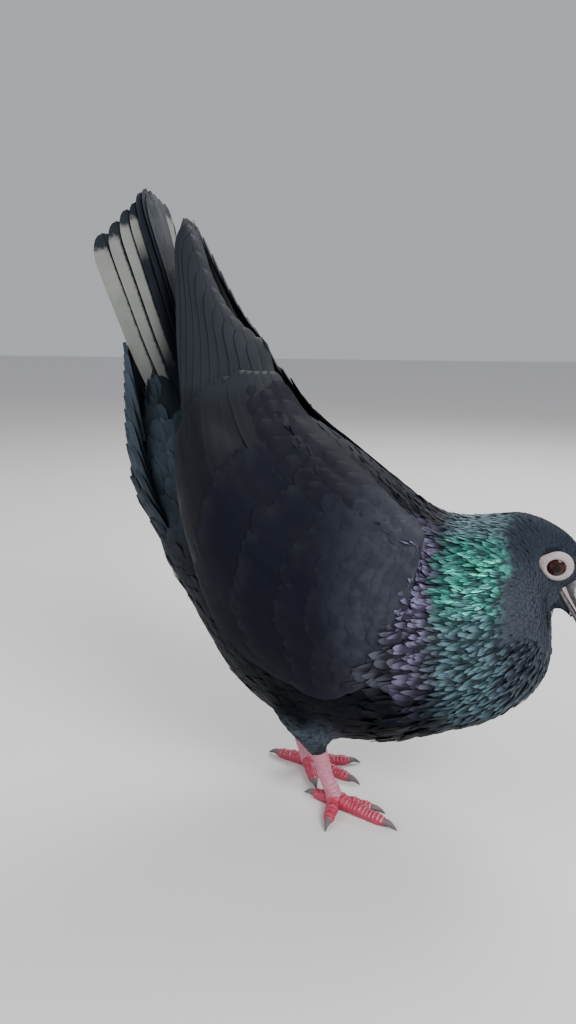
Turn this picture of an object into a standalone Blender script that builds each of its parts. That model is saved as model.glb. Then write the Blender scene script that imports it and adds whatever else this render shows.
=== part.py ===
# Homing pigeon, life size: a still standing model, head low, neck puffed and tail raised.
# It faces +X, its left side is +Y, and both feet stand on the plane Z = 0.
# Lengths below are in millimetres and are scaled to metres where a mesh is made.

import math

import bmesh
import bpy
import numpy as np
from mathutils import Matrix, Vector

MM = 0.001
GAP = 0.3            # air left between neighbouring nodes
FLAT_ANGLE = math.radians(0.4)   # faces that differ by less are one flat face
FAR = 400.0          # larger than the bird, for the blocks that part the body

# Body and neck, from the rump to the puffed throat.
# Each row is one oval: back x, back z, belly x, belly z, half width.
BODY_OVALS = (
    (-12, 184, -60, 137, 22),
    (6, 180, -63, 112, 33),
    (26, 168, -48, 90, 40),
    (43, 156, -24, 53, 44),
    (58, 145, 8, 33, 46),
    (72, 139, 42, 31.5, 45),
    (84, 139, 70, 39.5, 42),
    (95, 141, 93, 48, 37),
    (104, 140, 109, 60, 30),
    (111, 131, 117, 72, 22),
    (115, 117, 119, 84, 12),
)
BODY_SIDES = 28
BODY_RINGS = 20

# Where the whole body is parted: a point of each plane and the way it faces.
HEAD_PLANE = ((92, 0, 142), (0.873, 0, 0.488))
NECK_PLANE = ((69, 0, 140), (0.996, 0, -0.09))
RUMP_PLANE = ((-8, 0, 186), (-0.72, 0, 0.69))

# Head frame: the eye's level on the mid plane, and how far the bill points down.
EYE_X, EYE_Z = 117.6, 123.4
BILL_DOWN = math.radians(58)
# Each row is one oval of the head: distance ahead of the eye, crown above it, chin below it, half width.
HEAD_OVALS = (
    (-26, -5, -21, 8),
    (-22, 0, -21.5, 11),
    (-17, 4.4, -21, 13),
    (-9, 9.2, -19.5, 13.9),
    (-2, 11.2, -17.8, 13.4),
    (4, 11.4, -16, 11.4),
    (9, 9.8, -14, 8.7),
    (12.5, 7.6, -12, 6.4),
)
HEAD_SIDES = 20
HEAD_RINGS = 9
HEAD_BOX = 2.35          # how full the head's ovals are: 2 would be a plain ellipse
# Feathered chin that runs on under the lower bill.
CHIN_OVALS = (
    (6, -7, -16, 7.5),
    (13, -6.6, -12.4, 5.4),
    (20, -6.2, -9.8, 3.9),
    (25.5, -6, -7.6, 2.2),
)

# The bill: distance ahead of the eye, top and bottom above the eye's level, half width.
BILL_ROOT = 12.8
UPPER_BILL = (
    (BILL_ROOT, 5.0, -3.0, 4.8),
    (17, 4.2, -3.2, 4.4),
    (22, 2.8, -3.4, 3.8),
    (27, 1.6, -3.5, 3.0),
    (31.5, 0.4, -3.8, 2.4),
    (35, -1.7, -4.8, 1.7),
    (37.2, -4.2, -6.4, 0.7),
)
LOWER_BILL = (
    (BILL_ROOT, -3.4, -6.4, 4.6),
    (19, -3.6, -6.5, 3.8),
    (26, -3.9, -6.4, 2.7),
    (31, -4.2, -6.4, 2.1),
    (34.4, -5.1, -6.2, 1.0),
)
CERE = (          # one of the pair of white swellings over the bill's root
    (BILL_ROOT, 6.0, 0.1, 2.0),
    (14.5, 6.8, 0.0, 2.9),
    (18, 6.2, 0.2, 3.1),
    (21.5, 4.6, 0.7, 2.5),
    (23.6, 2.8, 1.1, 1.2),
)
CERE_OUT = 1.9           # how far each swelling lies from the mid plane
NOSTRIL = (21.5, 0.1, 5.2, 1.0)   # distance ahead of the eye, height, length, opening
NOSTRIL_IN = 2.6         # how near the mid plane the nostril reaches
MOUTH_BACK, MOUTH_FRONT = 9.0, 13.2
MOUTH_LEVEL = -3.45
MOUTH_IN = 4.8

EYE_RADIUS = 5.5
EYE_OUT = 8.9            # eyeball's centre from the mid plane
EYE_FORWARD = math.radians(20)
EYE_SIDES, EYE_STEPS = 16, 8
# Bare ring round the eye, as radius and height over the eyeball's centre.
RING_PROFILE = ((4.3, 3.95), (4.5, 4.6), (5.3, 4.85), (6.3, 4.5), (7.1, 3.5), (7.1, 2.0), (5.8, 1.4), (5.2, 2.65))
RING_OUTER = 7.1
WELL_TOP, WELL_RIM = 1.0, 1.55

# Right wing, folded: rows of x, y, z from the wrist to the tip of the longest primary.
WING_LOWER = (
    (60, -43, 91), (44, -48, 71), (22, -51, 70), (-10.5, -52, 92.5), (-28, -50, 128),
    (-35.3, -46, 167), (-37.5, -38, 200), (-40, -26, 233), (-43.5, -8, 266),
)
WING_MIDDLE = (
    (66, -45, 116), (46, -56, 115), (26, -58, 122), (3, -57, 138.5), (-13, -52, 161),
    (-21, -44.5, 182.5), (-25.8, -34, 204), (-32.5, -20.5, 230.5), (-43.7, -6.5, 267),
)
WING_UPPER = (
    (67, -30, 131), (56, -28, 137), (40, -26, 148.5), (22, -23, 162.5), (4, -18.5, 178.5),
    (-7.5, -13, 195.5), (-14.8, -10, 210), (-27.5, -7, 232), (-43.5, -5, 268),
)
WING_FLESH = ((9,), (12,), (13,), (12,), (10,), (8,), (5,), (2.5,), (1,))   # thickness along the wing
WING_EDGE = 1.2          # thickness at its edges
WING_STEPS = 7
WING_RINGS = 9
WING_FLESH_END = 0.62    # how far along the wing its flesh and small feathers reach

# Shares of a vane's full width from its root to its tip.
ROOT_RISE = 0.26         # share of a covert's length over which its root climbs out of the flesh
ROOT_SHARE = 0.66        # and the share of its whole climb that it makes there
VANE_STEPS = ((0, 0.28), (ROOT_RISE, 0.72), (0.82, 1.0), (1, 0.42))
FLIGHT_STEPS = ((0, 0.5), (0.35, 0.9), (0.7, 1.0), (0.93, 0.75), (1, 0.3))

# Feathers of the wing. Places on the wing are pairs: 0 at the wrist to 1 at the wing's tip,
# and 0 at the lower edge to 1 at the upper one. Lift is a feather's height over the wing's face.
VANE_THICK = 0.6         # flight feathers
COVERT_THICK = 1.5       # coverts and secondaries, whose undersides lie in the feathers below them
VANE_TILT = 0.7          # how far a covert's lower edge is raised and its upper one sunk, like tiles
PRIMARY_TIPS = (1.0, 0.985, 0.955, 0.91, 0.865, 0.82, 0.78)     # lowest feather first
PRIMARY_ROOT = 0.46
PRIMARY_PITCH = 0.95     # from one feather of the stack to the next
PRIMARY_DEPTH = 2.2      # how far the uppermost one lies under the wing's face
PRIMARY_WIDTH = 13.0
SECONDARIES = 6
SECONDARY_WIDTH = 14.0
COVERT_DEPTH = 1.5       # how far the flesh lies under the wing's face
# Each tier of coverts: roots, tips, how many, width, lowest and highest place, lift at root and tip.
COVERT_TIERS = (
    (0.20, 0.50, 6, 13.5, 0.09, 0.80, -2.9, 0.65),
    (0.06, 0.30, 6, 13.5, 0.10, 0.80, -2.9, 0.65),
)
SCAPULARS = 4
SCAPULAR_WIDTH = 15.0
SCAPULAR_PLACE = 0.90

# Tail: where its feathers start, which way it points, and the fan that they make.
TAIL_ROOT = (-31, 0, 162)
TAIL_RISE = math.radians(108)
# Each row: distance along the tail, half width, thickness over and under the feathers' plane.
TAIL_CORE = (
    (-34, 20, 14, 46), (-16, 24, 17, 47), (4, 24, 14, 44), (24, 22, 9, 38),
    (44, 19, 4, 29), (58, 14, 1.5, 19),
)
# The fan is a dome: its edges lie to the sides of the middle feathers and below them, the right
# edge more than the left one. Lengths run from the middle feather to the outermost one.
RIGHT_TAIL_LENGTHS = (122.5, 118, 115.5, 112.5, 108.5, 105)
LEFT_TAIL_LENGTHS = (122.5, 122.5, 122.5, 121.5, 119, 113)
TAIL_SPAN = 112          # distance along the tail at which it is as wide as its tip width says
TAIL_ROOT_WIDTH, TAIL_TIP_WIDTH = 12, 29
TAIL_ROOT_SAG, RIGHT_TIP_SAG, LEFT_TIP_SAG = 18, 14.5, 1
RIGHT_TAIL_REACH = 0.93  # how far the right edge spreads, as a share of the left one
TAIL_VANE_WIDTH = 16.0
TAIL_STACK = 0.95        # from one tail feather of the stack to the next
TAIL_COVERTS = 5
# Tiers under the tail: root along it and below it, tip along it and below it, how many, half spread.
UNDER_TIERS = (
    (12, 33, 58, 28, 5, 18),
    (-10, 38, 30, 41, 5, 17),
    (-32, 41, 3, 48, 4, 14),
)
UNDER_TURN = math.radians(35)   # how far round the underside the outer ones of a tier lie
UNDER_WIDTH = 12.0

# Legs: each toe is a direction in degrees from straight ahead and a length without its claw.
RIGHT_LEG = {
    "hub": (27.4, -15.7), "ankle": (20, -18.5, 27),
    "toes": {"inner": (1, 18), "middle": (-19.5, 28), "outer": (-84, 17), "hind": (162, 12)},
    "thigh": ((8, -17, 78, 14), (11, -22, 62, 16), (15, -23.5, 48, 12.5), (19, -21.5, 36, 8),
              (20, -18.5, 27, 5.2)),
}
LEFT_LEG = {
    "hub": (3.6, 15.4), "ankle": (-4, 18.5, 27),
    "toes": {"inner": (-62, 19), "middle": (-19, 26), "outer": (24, 21), "hind": (167, 18)},
    "thigh": ((0, 17, 78, 14), (1, 22, 62, 16), (0, 23.5, 48, 12.5), (-3, 21.5, 36, 8),
              (-4, 18.5, 27, 5.2)),
}
TOE_RADIUS = 3.0
TOE_END_RADIUS = 2.3
TOE_PAD = 0.3            # swelling of the pads between the joints
TOE_JOINTS = 3
CLAW_LENGTH = 6.2
SOLE_CUT = 0.45          # how much of each toe's round underside is flat on the ground
SHANK_RADII = (4.2, 3.4, 3.1, 3.3, 3.9)
SHANK_FOOT = 8.0         # height at which the shank meets the foot


# Colour and roughness of each kind of node, by the start of its name.
FINISHES = {
    "head": ((0.048, 0.061, 0.084), 0.6),
    "neck": ((0.016, 0.046, 0.040), 0.42),
    "torso": ((0.012, 0.014, 0.024), 0.6),
    "tail": ((0.020, 0.023, 0.033), 0.55),
    "wing": ((0.014, 0.016, 0.027), 0.5),
    "thigh": ((0.040, 0.050, 0.075), 0.65),
    "shank": ((0.430, 0.156, 0.205), 0.5),
    "foot": ((0.560, 0.070, 0.120), 0.48),
    "claw": ((0.045, 0.034, 0.032), 0.35),
    "bill": ((0.022, 0.018, 0.020), 0.38),
    "cere": ((0.700, 0.680, 0.650), 0.7),
    "eye_ring": ((0.640, 0.490, 0.460), 0.55),
    "eye": ((0.100, 0.014, 0.008), 0.08),
}


def spline(rows, t):
    # A smooth curve through the rows, with t running from 0 to 1 over them all.
    rows = np.asarray(rows, float)
    last = len(rows) - 1
    place = min(max(t, 0.0), 1.0) * last
    i = min(int(place), last - 1)
    f = place - i
    before = rows[i - 1] if i > 0 else 2 * rows[0] - rows[1]
    after = rows[i + 2] if i < last - 1 else 2 * rows[last] - rows[last - 1]
    a, b = rows[i], rows[i + 1]
    return 0.5 * (2 * a + (b - before) * f + (2 * before - 5 * a + 4 * b - after) * f ** 2
                  + (3 * a - before - 3 * b + after) * f ** 3)


def unit(v):
    v = np.asarray(v, float)
    return v / np.linalg.norm(v)


def clear_scene():
    for obj in list(bpy.data.objects):
        bpy.data.objects.remove(obj, do_unlink=True)


def new_collection(name, hidden=False):
    made = bpy.data.collections.new(name)
    bpy.context.scene.collection.children.link(made)
    made.hide_render = hidden
    return made


def material(name, colour, roughness):
    made = bpy.data.materials.new(name)
    made.use_nodes = True
    shader = made.node_tree.nodes["Principled BSDF"]
    shader.inputs["Base Color"].default_value = (*colour, 1)
    shader.inputs["Roughness"].default_value = roughness
    shader.inputs["Metallic"].default_value = 0
    made.diffuse_color = (*colour, 1)
    return made


def mesh_object(name, points, faces, home):
    mesh = bpy.data.meshes.new(name)
    mesh.from_pydata([Vector(p) * MM for p in points], [], faces)
    shape = bmesh.new()
    shape.from_mesh(mesh)
    bmesh.ops.recalc_face_normals(shape, faces=shape.faces)
    bmesh.ops.triangulate(shape, faces=shape.faces)
    shape.to_mesh(mesh)
    shape.free()
    obj = bpy.data.objects.new(name, mesh)
    home.objects.link(obj)
    return obj


def loft(name, rings, home):
    # Closed skin over rings of points, each ring as many points as the next, with flat ends.
    count = len(rings[0])
    points = [p for ring in rings for p in ring]
    faces = []
    for r in range(len(rings) - 1):
        for k in range(count):
            n = (k + 1) % count
            a, b = r * count + k, r * count + n
            faces += [(a, b, b + count), (a, b + count, a + count)]
    faces.append(tuple(range(count)))
    faces.append(tuple(range((len(rings) - 1) * count, len(rings) * count)))
    return mesh_object(name, points, faces, home)


def bulge(value, full):
    # Cosine or sine of a fuller oval: full is 2 for an ellipse and more for a boxier ring.
    return math.copysign(abs(value) ** (2 / full), value)


def oval(top, bottom, half_width, sides, grow=0.0, full=2.0):
    # A ring in the plane of top, bottom and the Y axis.
    top, bottom = np.asarray(top, float), np.asarray(bottom, float)
    centre, half = (top + bottom) / 2, (top - bottom) / 2
    half = half * (1 + grow / np.linalg.norm(half))
    out = np.array((0, half_width + grow, 0))
    turns = [2 * math.pi * k / sides for k in range(sides)]
    return [centre + half * bulge(math.cos(t), full) + out * bulge(math.sin(t), full) for t in turns]


def blade(name, stations, thick, home):
    # A thin vane: each station is a row of points across it and the vane's normal there.
    # Both faces are split into triangles alike.
    across = len(stations[0][0])
    points = []
    for row, normal in stations:
        points += [p + normal * thick / 2 for p in row]
        points += [p - normal * thick / 2 for p in row]
    ring = list(range(across)) + list(range(2 * across - 1, across - 1, -1))
    faces = []
    for i in range(len(stations) - 1):
        a, b = 2 * across * i, 2 * across * (i + 1)
        for k, p in enumerate(ring):
            q = ring[(k + 1) % len(ring)]
            if k < across:
                faces += [(a + p, a + q, b + q), (a + p, b + q, b + p)]
            else:
                faces += [(a + p, a + q, b + p), (a + q, b + q, b + p)]
    faces.append(tuple(ring))
    faces.append(tuple(2 * across * (len(stations) - 1) + p for p in ring))
    return mesh_object(name, points, faces, home)


def tube(name, path, radii, sides, home):
    # A round limb along a path: the ring at each point faces along the path there.
    path = [np.asarray(p, float) for p in path]
    rings = []
    across = None
    for i, centre in enumerate(path):
        along = unit(path[min(i + 1, len(path) - 1)] - path[max(i - 1, 0)])
        if across is None:
            across = unit(np.cross(along, (0.31, 0.17, 0.93)))
        across = unit(across - along * np.dot(across, along))
        third = np.cross(along, across)
        turns = [2 * math.pi * k / sides for k in range(sides)]
        rings.append([centre + radii[i] * (across * math.cos(t) + third * math.sin(t)) for t in turns])
    return loft(name, rings, home)


def evaluated(obj):
    # The object's mesh as its modifiers leave it.
    graph = bpy.context.evaluated_depsgraph_get()
    graph.update()
    mesh = bpy.data.meshes.new_from_object(obj.evaluated_get(graph))
    obj.modifiers.clear()
    obj.data = mesh
    return obj


def boolean(obj, other, operation, solver="EXACT"):
    change = obj.modifiers.new(operation, "BOOLEAN")
    change.operation = operation
    change.solver = solver
    if isinstance(other, bpy.types.Collection):
        change.operand_type = "COLLECTION"
        change.collection = other
    else:
        change.object = other
    return evaluated(obj)


def fuse(obj, collection, solver="MANIFOLD"):
    # Joins a collection of closed pieces to obj, then removes them.
    if collection.objects:
        boolean(obj, collection, "UNION", solver)
    for piece in list(collection.objects):
        bpy.data.objects.remove(piece, do_unlink=True)
    bpy.data.collections.remove(collection)
    return obj


def keep_largest(obj):
    # Drops every loose surface but the largest, and merges points that coincide.
    shape = bmesh.new()
    shape.from_mesh(obj.data)
    bmesh.ops.remove_doubles(shape, verts=shape.verts, dist=1e-6)
    bmesh.ops.dissolve_limit(shape, angle_limit=FLAT_ANGLE, verts=shape.verts, edges=shape.edges)
    bmesh.ops.triangulate(shape, faces=shape.faces)
    left = set(shape.faces)
    groups = []
    while left:
        group = {left.pop()}
        edge_of_group = list(group)
        while edge_of_group:
            face = edge_of_group.pop()
            for edge in face.edges:
                for other in edge.link_faces:
                    if other in left:
                        left.discard(other)
                        group.add(other)
                        edge_of_group.append(other)
        groups.append(group)
    groups.sort(key=lambda g: sum(f.calc_area() for f in g))
    for group in groups[:-1]:
        bmesh.ops.delete(shape, geom=list(group), context="FACES")
    loose = [v for v in shape.verts if not v.link_faces]
    bmesh.ops.delete(shape, geom=loose, context="VERTS")
    shape.to_mesh(obj.data)
    shape.free()
    return obj


def copy_of(obj, name, home):
    made = bpy.data.objects.new(name, obj.data.copy())
    home.objects.link(made)
    return made


def mirrored(obj, name, home):
    made = copy_of(obj, name, home)
    shape = bmesh.new()
    shape.from_mesh(made.data)
    for vert in shape.verts:
        vert.co.y = -vert.co.y
    bmesh.ops.reverse_faces(shape, faces=shape.faces)
    shape.to_mesh(made.data)
    shape.free()
    return made


def half_space(name, point, towards, home):
    # A block that holds everything ahead of a plane: point lies on the plane, towards looks into the block.
    towards = unit(towards)
    across = np.array((0.0, 1.0, 0.0))
    third = np.cross(towards, across)
    near = np.asarray(point, float)
    ring = [near + FAR * (across * i + third * j) for i, j in ((-1, -1), (1, -1), (1, 1), (-1, 1))]
    return loft(name, [ring, [p + towards * FAR for p in ring]], home)


def head_place(ahead, up, out=0.0):
    # A point of the head frame in the bird's own frame.
    along = np.array((math.cos(BILL_DOWN), 0, -math.sin(BILL_DOWN)))
    crown = np.array((math.sin(BILL_DOWN), 0, math.cos(BILL_DOWN)))
    return np.array((EYE_X, 0, EYE_Z)) + along * ahead + crown * up + np.array((0, out, 0))


def body_block(name, home, grow=0.0):
    rings = []
    for k in range(BODY_RINGS + 1):
        bx, bz, vx, vz, wide = spline(BODY_OVALS, k / BODY_RINGS)
        rings.append(oval((bx, 0, bz), (vx, 0, vz), wide, BODY_SIDES, grow))
    return loft(name, rings, home)


def head_rings(rows, count, sides, grow=0.0, out=0.0, full=2.0):
    rings = []
    for k in range(count + 1):
        ahead, top, bottom, wide = spline(rows, k / count)
        middle = oval(head_place(ahead, top), head_place(ahead, bottom), wide, sides, grow, full)
        rings.append([p + np.array((0, out, 0)) for p in middle])
    return rings


def shifted(plane, by):
    point, towards = plane
    return np.asarray(point, float) + unit(towards) * by, towards


def wing_point(a, b):
    low, mid, top = (spline(rows, a) for rows in (WING_LOWER, WING_MIDDLE, WING_UPPER))
    return low * (1 - b) * (1 - 2 * b) + mid * 4 * b * (1 - b) + top * b * (2 * b - 1)


def wing_frame(a, b):
    # The way to the tip, the way from the lower edge to the upper one, and out from the body.
    step = 0.01
    a0, a1 = max(a - step, 0), min(a + step, 1)
    along = unit(wing_point(a1, b) - wing_point(a0, b))
    across = unit(wing_point(a, b + step) - wing_point(a, b - step))
    out = unit(np.cross(across, along))
    if out[1] > 0:
        out = -out
    return along, unit(np.cross(along, out)), out


def wing_depth(a, b):
    # Thickness of the arm's flesh and small feathers under the wing's outer face.
    edge = max(4 * b * (1 - b), 0.0) ** 0.5
    return WING_EDGE + spline(WING_FLESH, a)[0] * edge


def turned(name, profile, centre, axis, sides, home):
    # A solid of revolution: the profile holds pairs of radius and height along the axis.
    axis = unit(axis)
    across = unit(np.cross(axis, (0, 0, 1)))
    third = np.cross(axis, across)
    centre = np.asarray(centre, float)
    closed = profile[0][0] > 0
    points, faces = [], []
    for k in range(sides):
        turn = 2 * math.pi * k / sides
        way = across * math.cos(turn) + third * math.sin(turn)
        points += [centre + way * max(r, 1e-4) + axis * h for r, h in profile]
    count = len(profile)
    for k in range(sides):
        n = (k + 1) % sides
        for i in range(count if closed else count - 1):
            j = (i + 1) % count
            a, b, c, d = k * count + i, n * count + i, n * count + j, k * count + j
            faces += [(a, b, c), (a, c, d)]
    if not closed:
        faces.append(tuple(k * count for k in range(sides)))
        faces.append(tuple(k * count + count - 1 for k in range(sides)))
    made = mesh_object(name, points, faces, home)
    return weld(made)


def weld(obj, distance=2e-6):
    shape = bmesh.new()
    shape.from_mesh(obj.data)
    bmesh.ops.remove_doubles(shape, verts=shape.verts, dist=distance)
    bmesh.ops.dissolve_degenerate(shape, dist=distance / 2, edges=shape.edges)
    bmesh.ops.recalc_face_normals(shape, faces=shape.faces)
    shape.to_mesh(obj.data)
    shape.free()
    return obj


def cut(obj, *cutters, solver="EXACT"):
    for cutter in cutters:
        boolean(obj, cutter, "DIFFERENCE", solver)
    return keep_largest(obj)


def make_flesh(parts, cutters):
    # Head, neck and torso are one form, parted by thin plane cuts.
    whole = body_block("whole", cutters)
    pieces = new_collection("head pieces", True)
    loft("head block", head_rings(HEAD_OVALS, HEAD_RINGS, HEAD_SIDES, full=HEAD_BOX), pieces)
    loft("chin", head_rings(CHIN_OVALS, 6, 12), pieces)
    fuse(whole, pieces)
    ahead_of_head = half_space("ahead of head cut", *shifted(HEAD_PLANE, -GAP / 2), cutters)
    behind_head = half_space("behind head cut", *backwards(HEAD_PLANE, GAP / 2), cutters)
    ahead_of_neck = half_space("ahead of neck cut", *shifted(NECK_PLANE, -GAP / 2), cutters)
    behind_neck = half_space("behind neck cut", *backwards(NECK_PLANE, GAP / 2), cutters)
    behind_rump = half_space("behind rump cut", *shifted(RUMP_PLANE, -GAP / 2), cutters)
    head = cut(copy_of(whole, "head", parts), behind_head)
    neck = cut(copy_of(whole, "neck", parts), ahead_of_head, behind_neck)
    torso = cut(copy_of(whole, "torso", parts), ahead_of_neck, behind_rump)
    return whole, head, neck, torso


def backwards(plane, by):
    point, towards = plane
    return np.asarray(point, float) + unit(towards) * by, -np.asarray(towards, float)


def eye_axis(side):
    return np.array((math.cos(BILL_DOWN) * math.sin(EYE_FORWARD), side * math.cos(EYE_FORWARD),
                     -math.sin(BILL_DOWN) * math.sin(EYE_FORWARD)))


def make_eyes(parts, cutters, head):
    for side, word in ((-1, "right"), (1, "left")):
        centre = head_place(0, 0, side * EYE_OUT)
        axis = eye_axis(side)
        arc = [math.pi * k / EYE_STEPS for k in range(EYE_STEPS + 1)]
        ball = [(EYE_RADIUS * math.sin(t), -EYE_RADIUS * math.cos(t)) for t in arc]
        turned(f"eye_{word}", ball, centre, axis, EYE_SIDES, parts)
        # Bare skin in a ring round the eye, with a lip where the lids open.
        turned(f"eye_ring_{word}", RING_PROFILE, centre, axis, EYE_SIDES, parts)
        well = EYE_RADIUS + GAP
        socket = [(well * math.sin(t), -well * math.cos(t)) for t in arc if -well * math.cos(t) < WELL_TOP]
        socket += [(math.sqrt(well ** 2 - WELL_TOP ** 2), WELL_TOP), (RING_OUTER + GAP, WELL_RIM),
                   (RING_OUTER + GAP, 9), (0, 9)]
        cut(head, turned(f"socket {word}", socket, centre, axis, EYE_SIDES, cutters))


def make_bill(parts, cutters, head):
    count = 10
    upper = loft("bill_upper", head_rings(UPPER_BILL, count, 12), parts)
    loft("bill_lower", head_rings(LOWER_BILL, 8, 12), parts)
    grown = loft("bill room", head_rings(UPPER_BILL, count, 12, GAP), cutters)
    cut(head, loft("lower bill room", head_rings(LOWER_BILL, 8, 12, GAP), cutters))
    # Two slits under the soft swellings are the nostrils.
    for side in (-1, 1):
        ahead, up, length, opening = NOSTRIL
        ring = [head_place(ahead + x, up + z, side * y) for x, z, y in (
            (-length / 2, -opening / 2, NOSTRIL_IN), (-length / 2, opening / 2, NOSTRIL_IN),
            (-length / 2, opening / 2, 6), (-length / 2, -opening / 2, 6))]
        far = [p + head_place(length, 0) - head_place(0, 0) for p in ring]
        cut(upper, loft(f"nostril {side}", [ring, far], cutters))
    lobes = new_collection("cere pieces", True)
    cere = loft("cere", head_rings(CERE, 6, 12, 0, CERE_OUT), parts)
    loft("second lobe", head_rings(CERE, 6, 12, 0, -CERE_OUT), lobes)
    fuse(cere, lobes)
    cut(cere, grown)
    # The mouth's line runs back into the face as a shallow groove on each side.
    for side in (-1, 1):
        near, far = [], []
        for z, y in ((-0.4, MOUTH_IN), (0.4, MOUTH_IN), (0.4, 9), (-0.4, 9)):
            near.append(head_place(MOUTH_BACK, MOUTH_LEVEL + z, side * (y + 2.6)))
            far.append(head_place(MOUTH_FRONT, MOUTH_LEVEL + z, side * y))
        cut(head, loft(f"mouth {side}", [near, far], cutters))


def make_leg(parts, cutters, word, leg, body_room):
    ankle = np.asarray(leg["ankle"], float)
    hub = np.array((*leg["hub"], TOE_RADIUS - SOLE_CUT + 0.4))
    path = [ankle + (hub - ankle) * t for t in (0, 0.2, 0.5, 0.8, 1.0)]
    path[2] = path[2] + np.array((-0.8, 0, 0))
    whole = tube("whole shank", path, SHANK_RADII, 12, cutters)

    thigh = leg["thigh"]
    rows = [spline(thigh, k / 6) for k in range(7)]
    tube(f"thigh_{word}", [row[:3] for row in rows], [row[3] for row in rows], 16, parts)
    cut(parts.objects[f"thigh_{word}"], body_room, half_space(
        f"below thigh {word}", (ankle[0], ankle[1], ankle[2] + GAP / 2), (0, 0, -1), cutters))

    shank = copy_of(whole, f"shank_{word}", parts)
    top = half_space(f"above shank {word}", (ankle[0], ankle[1], ankle[2] - GAP / 2), (0, 0, 1), cutters)
    bottom = half_space(f"below shank {word}", (0, 0, SHANK_FOOT + GAP / 2), (0, 0, -1), cutters)
    cut(shank, top, bottom)

    foot = copy_of(whole, f"foot_{word}", parts)
    toes = new_collection("toe pieces", True)
    for toe, (turn, length) in leg["toes"].items():
        make_toe(parts, toes, f"{toe}_{word}", hub, math.radians(turn), length)
    cut(foot, half_space(f"over foot {word}", (0, 0, SHANK_FOOT - GAP / 2), (0, 0, 1), cutters))
    fuse(foot, toes)
    cut(foot, half_space(f"ground {word}", (0, 0, 0), (0, 0, -1), cutters))


def make_toe(parts, toes, name, hub, turn, length):
    # Pads swell between the joints; the claw starts a small gap past the toe's blunt end.
    way = np.array((math.cos(turn), math.sin(turn), 0))
    start = np.array((hub[0], hub[1], 0))
    count = max(round(length / 4), 3)
    path, radii = [], []
    for k in range(count + 1):
        t = k / count
        pad = TOE_PAD * math.cos(2 * math.pi * (t * TOE_JOINTS + 0.5))
        radius = TOE_RADIUS + (TOE_END_RADIUS - TOE_RADIUS) * t + pad * (1 - t)
        path.append(start + way * length * t + np.array((0, 0, radius - SOLE_CUT)))
        radii.append(radius)
    tube(name, path, radii, 8, toes)
    base = start + way * (length + GAP)
    steps = ((0, 1.55, 2.0), (0.35, 1.25, 2.05), (0.7, 0.8, 1.5), (1, 0.22, 0.5))
    path = [base + way * CLAW_LENGTH * t + np.array((0, 0, z)) for t, _, z in steps]
    claw = tube(f"claw_{name}", path, [r for _, r, _ in steps], 8, parts)
    flatten_end(claw, base, way)


def flatten_end(claw, base, way):
    # The root of a claw is square to its toe, so that both meet face to face.
    for vert in list(claw.data.vertices)[:8]:
        place = np.array(vert.co) / MM
        place = place - way * np.dot(place - base, way)
        vert.co = Vector(place) * MM


def wing_vane(start, end, width, lift, home, thick=COVERT_THICK, tilt=VANE_TILT, steps=VANE_STEPS):
    # One feather on the wing's face. start and end are places on the wing; lift is its middle's height
    # over the face at root and tip. A tilted vane follows the face's curve in two halves.
    across = (-0.5, 0, 0.5) if tilt else (-0.5, 0.5)
    stations = []
    for t, share in steps:
        a = start[0] + (end[0] - start[0]) * t
        b = start[1] + (end[1] - start[1]) * t
        out = wing_frame(min(max(a, 0), 1), b)[2]
        span = np.linalg.norm(wing_point(a, b + 0.01) - wing_point(a, b - 0.01)) / 0.02
        high = np.interp(t, (0, ROOT_RISE, 1), (lift[0], lift[0] + (lift[1] - lift[0]) * ROOT_SHARE, lift[1]))
        row = [wing_point(a, b + j * width * share / span) + out * (high - 2 * tilt * j * share) for j in across]
        stations.append((row, out))
    return blade("vane", stations, thick, home)


def make_wing(parts, rooms):
    rings = []
    for r in range(WING_RINGS + 1):
        a = WING_FLESH_END * r / WING_RINGS
        outer, inner = [], []
        for k in range(WING_STEPS + 1):
            b = k / WING_STEPS
            out = wing_frame(a, b)[2]
            outer.append(wing_point(a, b) - out * COVERT_DEPTH)
            inner.append(wing_point(a, b) - out * (COVERT_DEPTH + wing_depth(a, b)))
        rings.append(outer + inner[::-1])
    wing = loft("wing_right", rings, parts)
    vanes = new_collection("wing vanes", True)
    # Primaries: the longest lies lowest and deepest, and each later one lies over it.
    for i, tip in enumerate(PRIMARY_TIPS):
        deep = -PRIMARY_DEPTH - PRIMARY_PITCH * (len(PRIMARY_TIPS) - 1 - i)
        wing_vane((PRIMARY_ROOT, 0.16 + 0.113 * i), (tip, 0.42 + 0.053 * i), PRIMARY_WIDTH,
                  (deep, deep), vanes, VANE_THICK, 0, FLIGHT_STEPS)
    # Secondaries and tertials close the wing over them.
    for i in range(SECONDARIES):
        t = i / (SECONDARIES - 1)
        tip = 0.635 + 0.075 * math.sin(math.pi * min(t * 0.75, 1))
        wing_vane((0.36, 0.10 + 0.70 * t), (tip, 0.14 + 0.72 * t), SECONDARY_WIDTH, (-2.9, 0.15), vanes)
    for root, tip, count, width, low, high, sunk, proud in COVERT_TIERS:
        for i in range(count):
            t = i / (count - 1)
            b = low + (high - low) * t
            bow = 0.03 * math.sin(math.pi * t)
            wing_vane((root + bow, b), (tip + bow, b + 0.01), width, (sunk, proud), vanes)
    for i in range(SCAPULARS):
        t = i / (SCAPULARS - 1)
        wing_vane((0.02 + 0.36 * t, SCAPULAR_PLACE), (0.24 + 0.42 * t, SCAPULAR_PLACE), SCAPULAR_WIDTH,
                  (-2.9, 1.3), vanes)
    fuse(wing, vanes)
    return cut(wing, *rooms)


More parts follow.
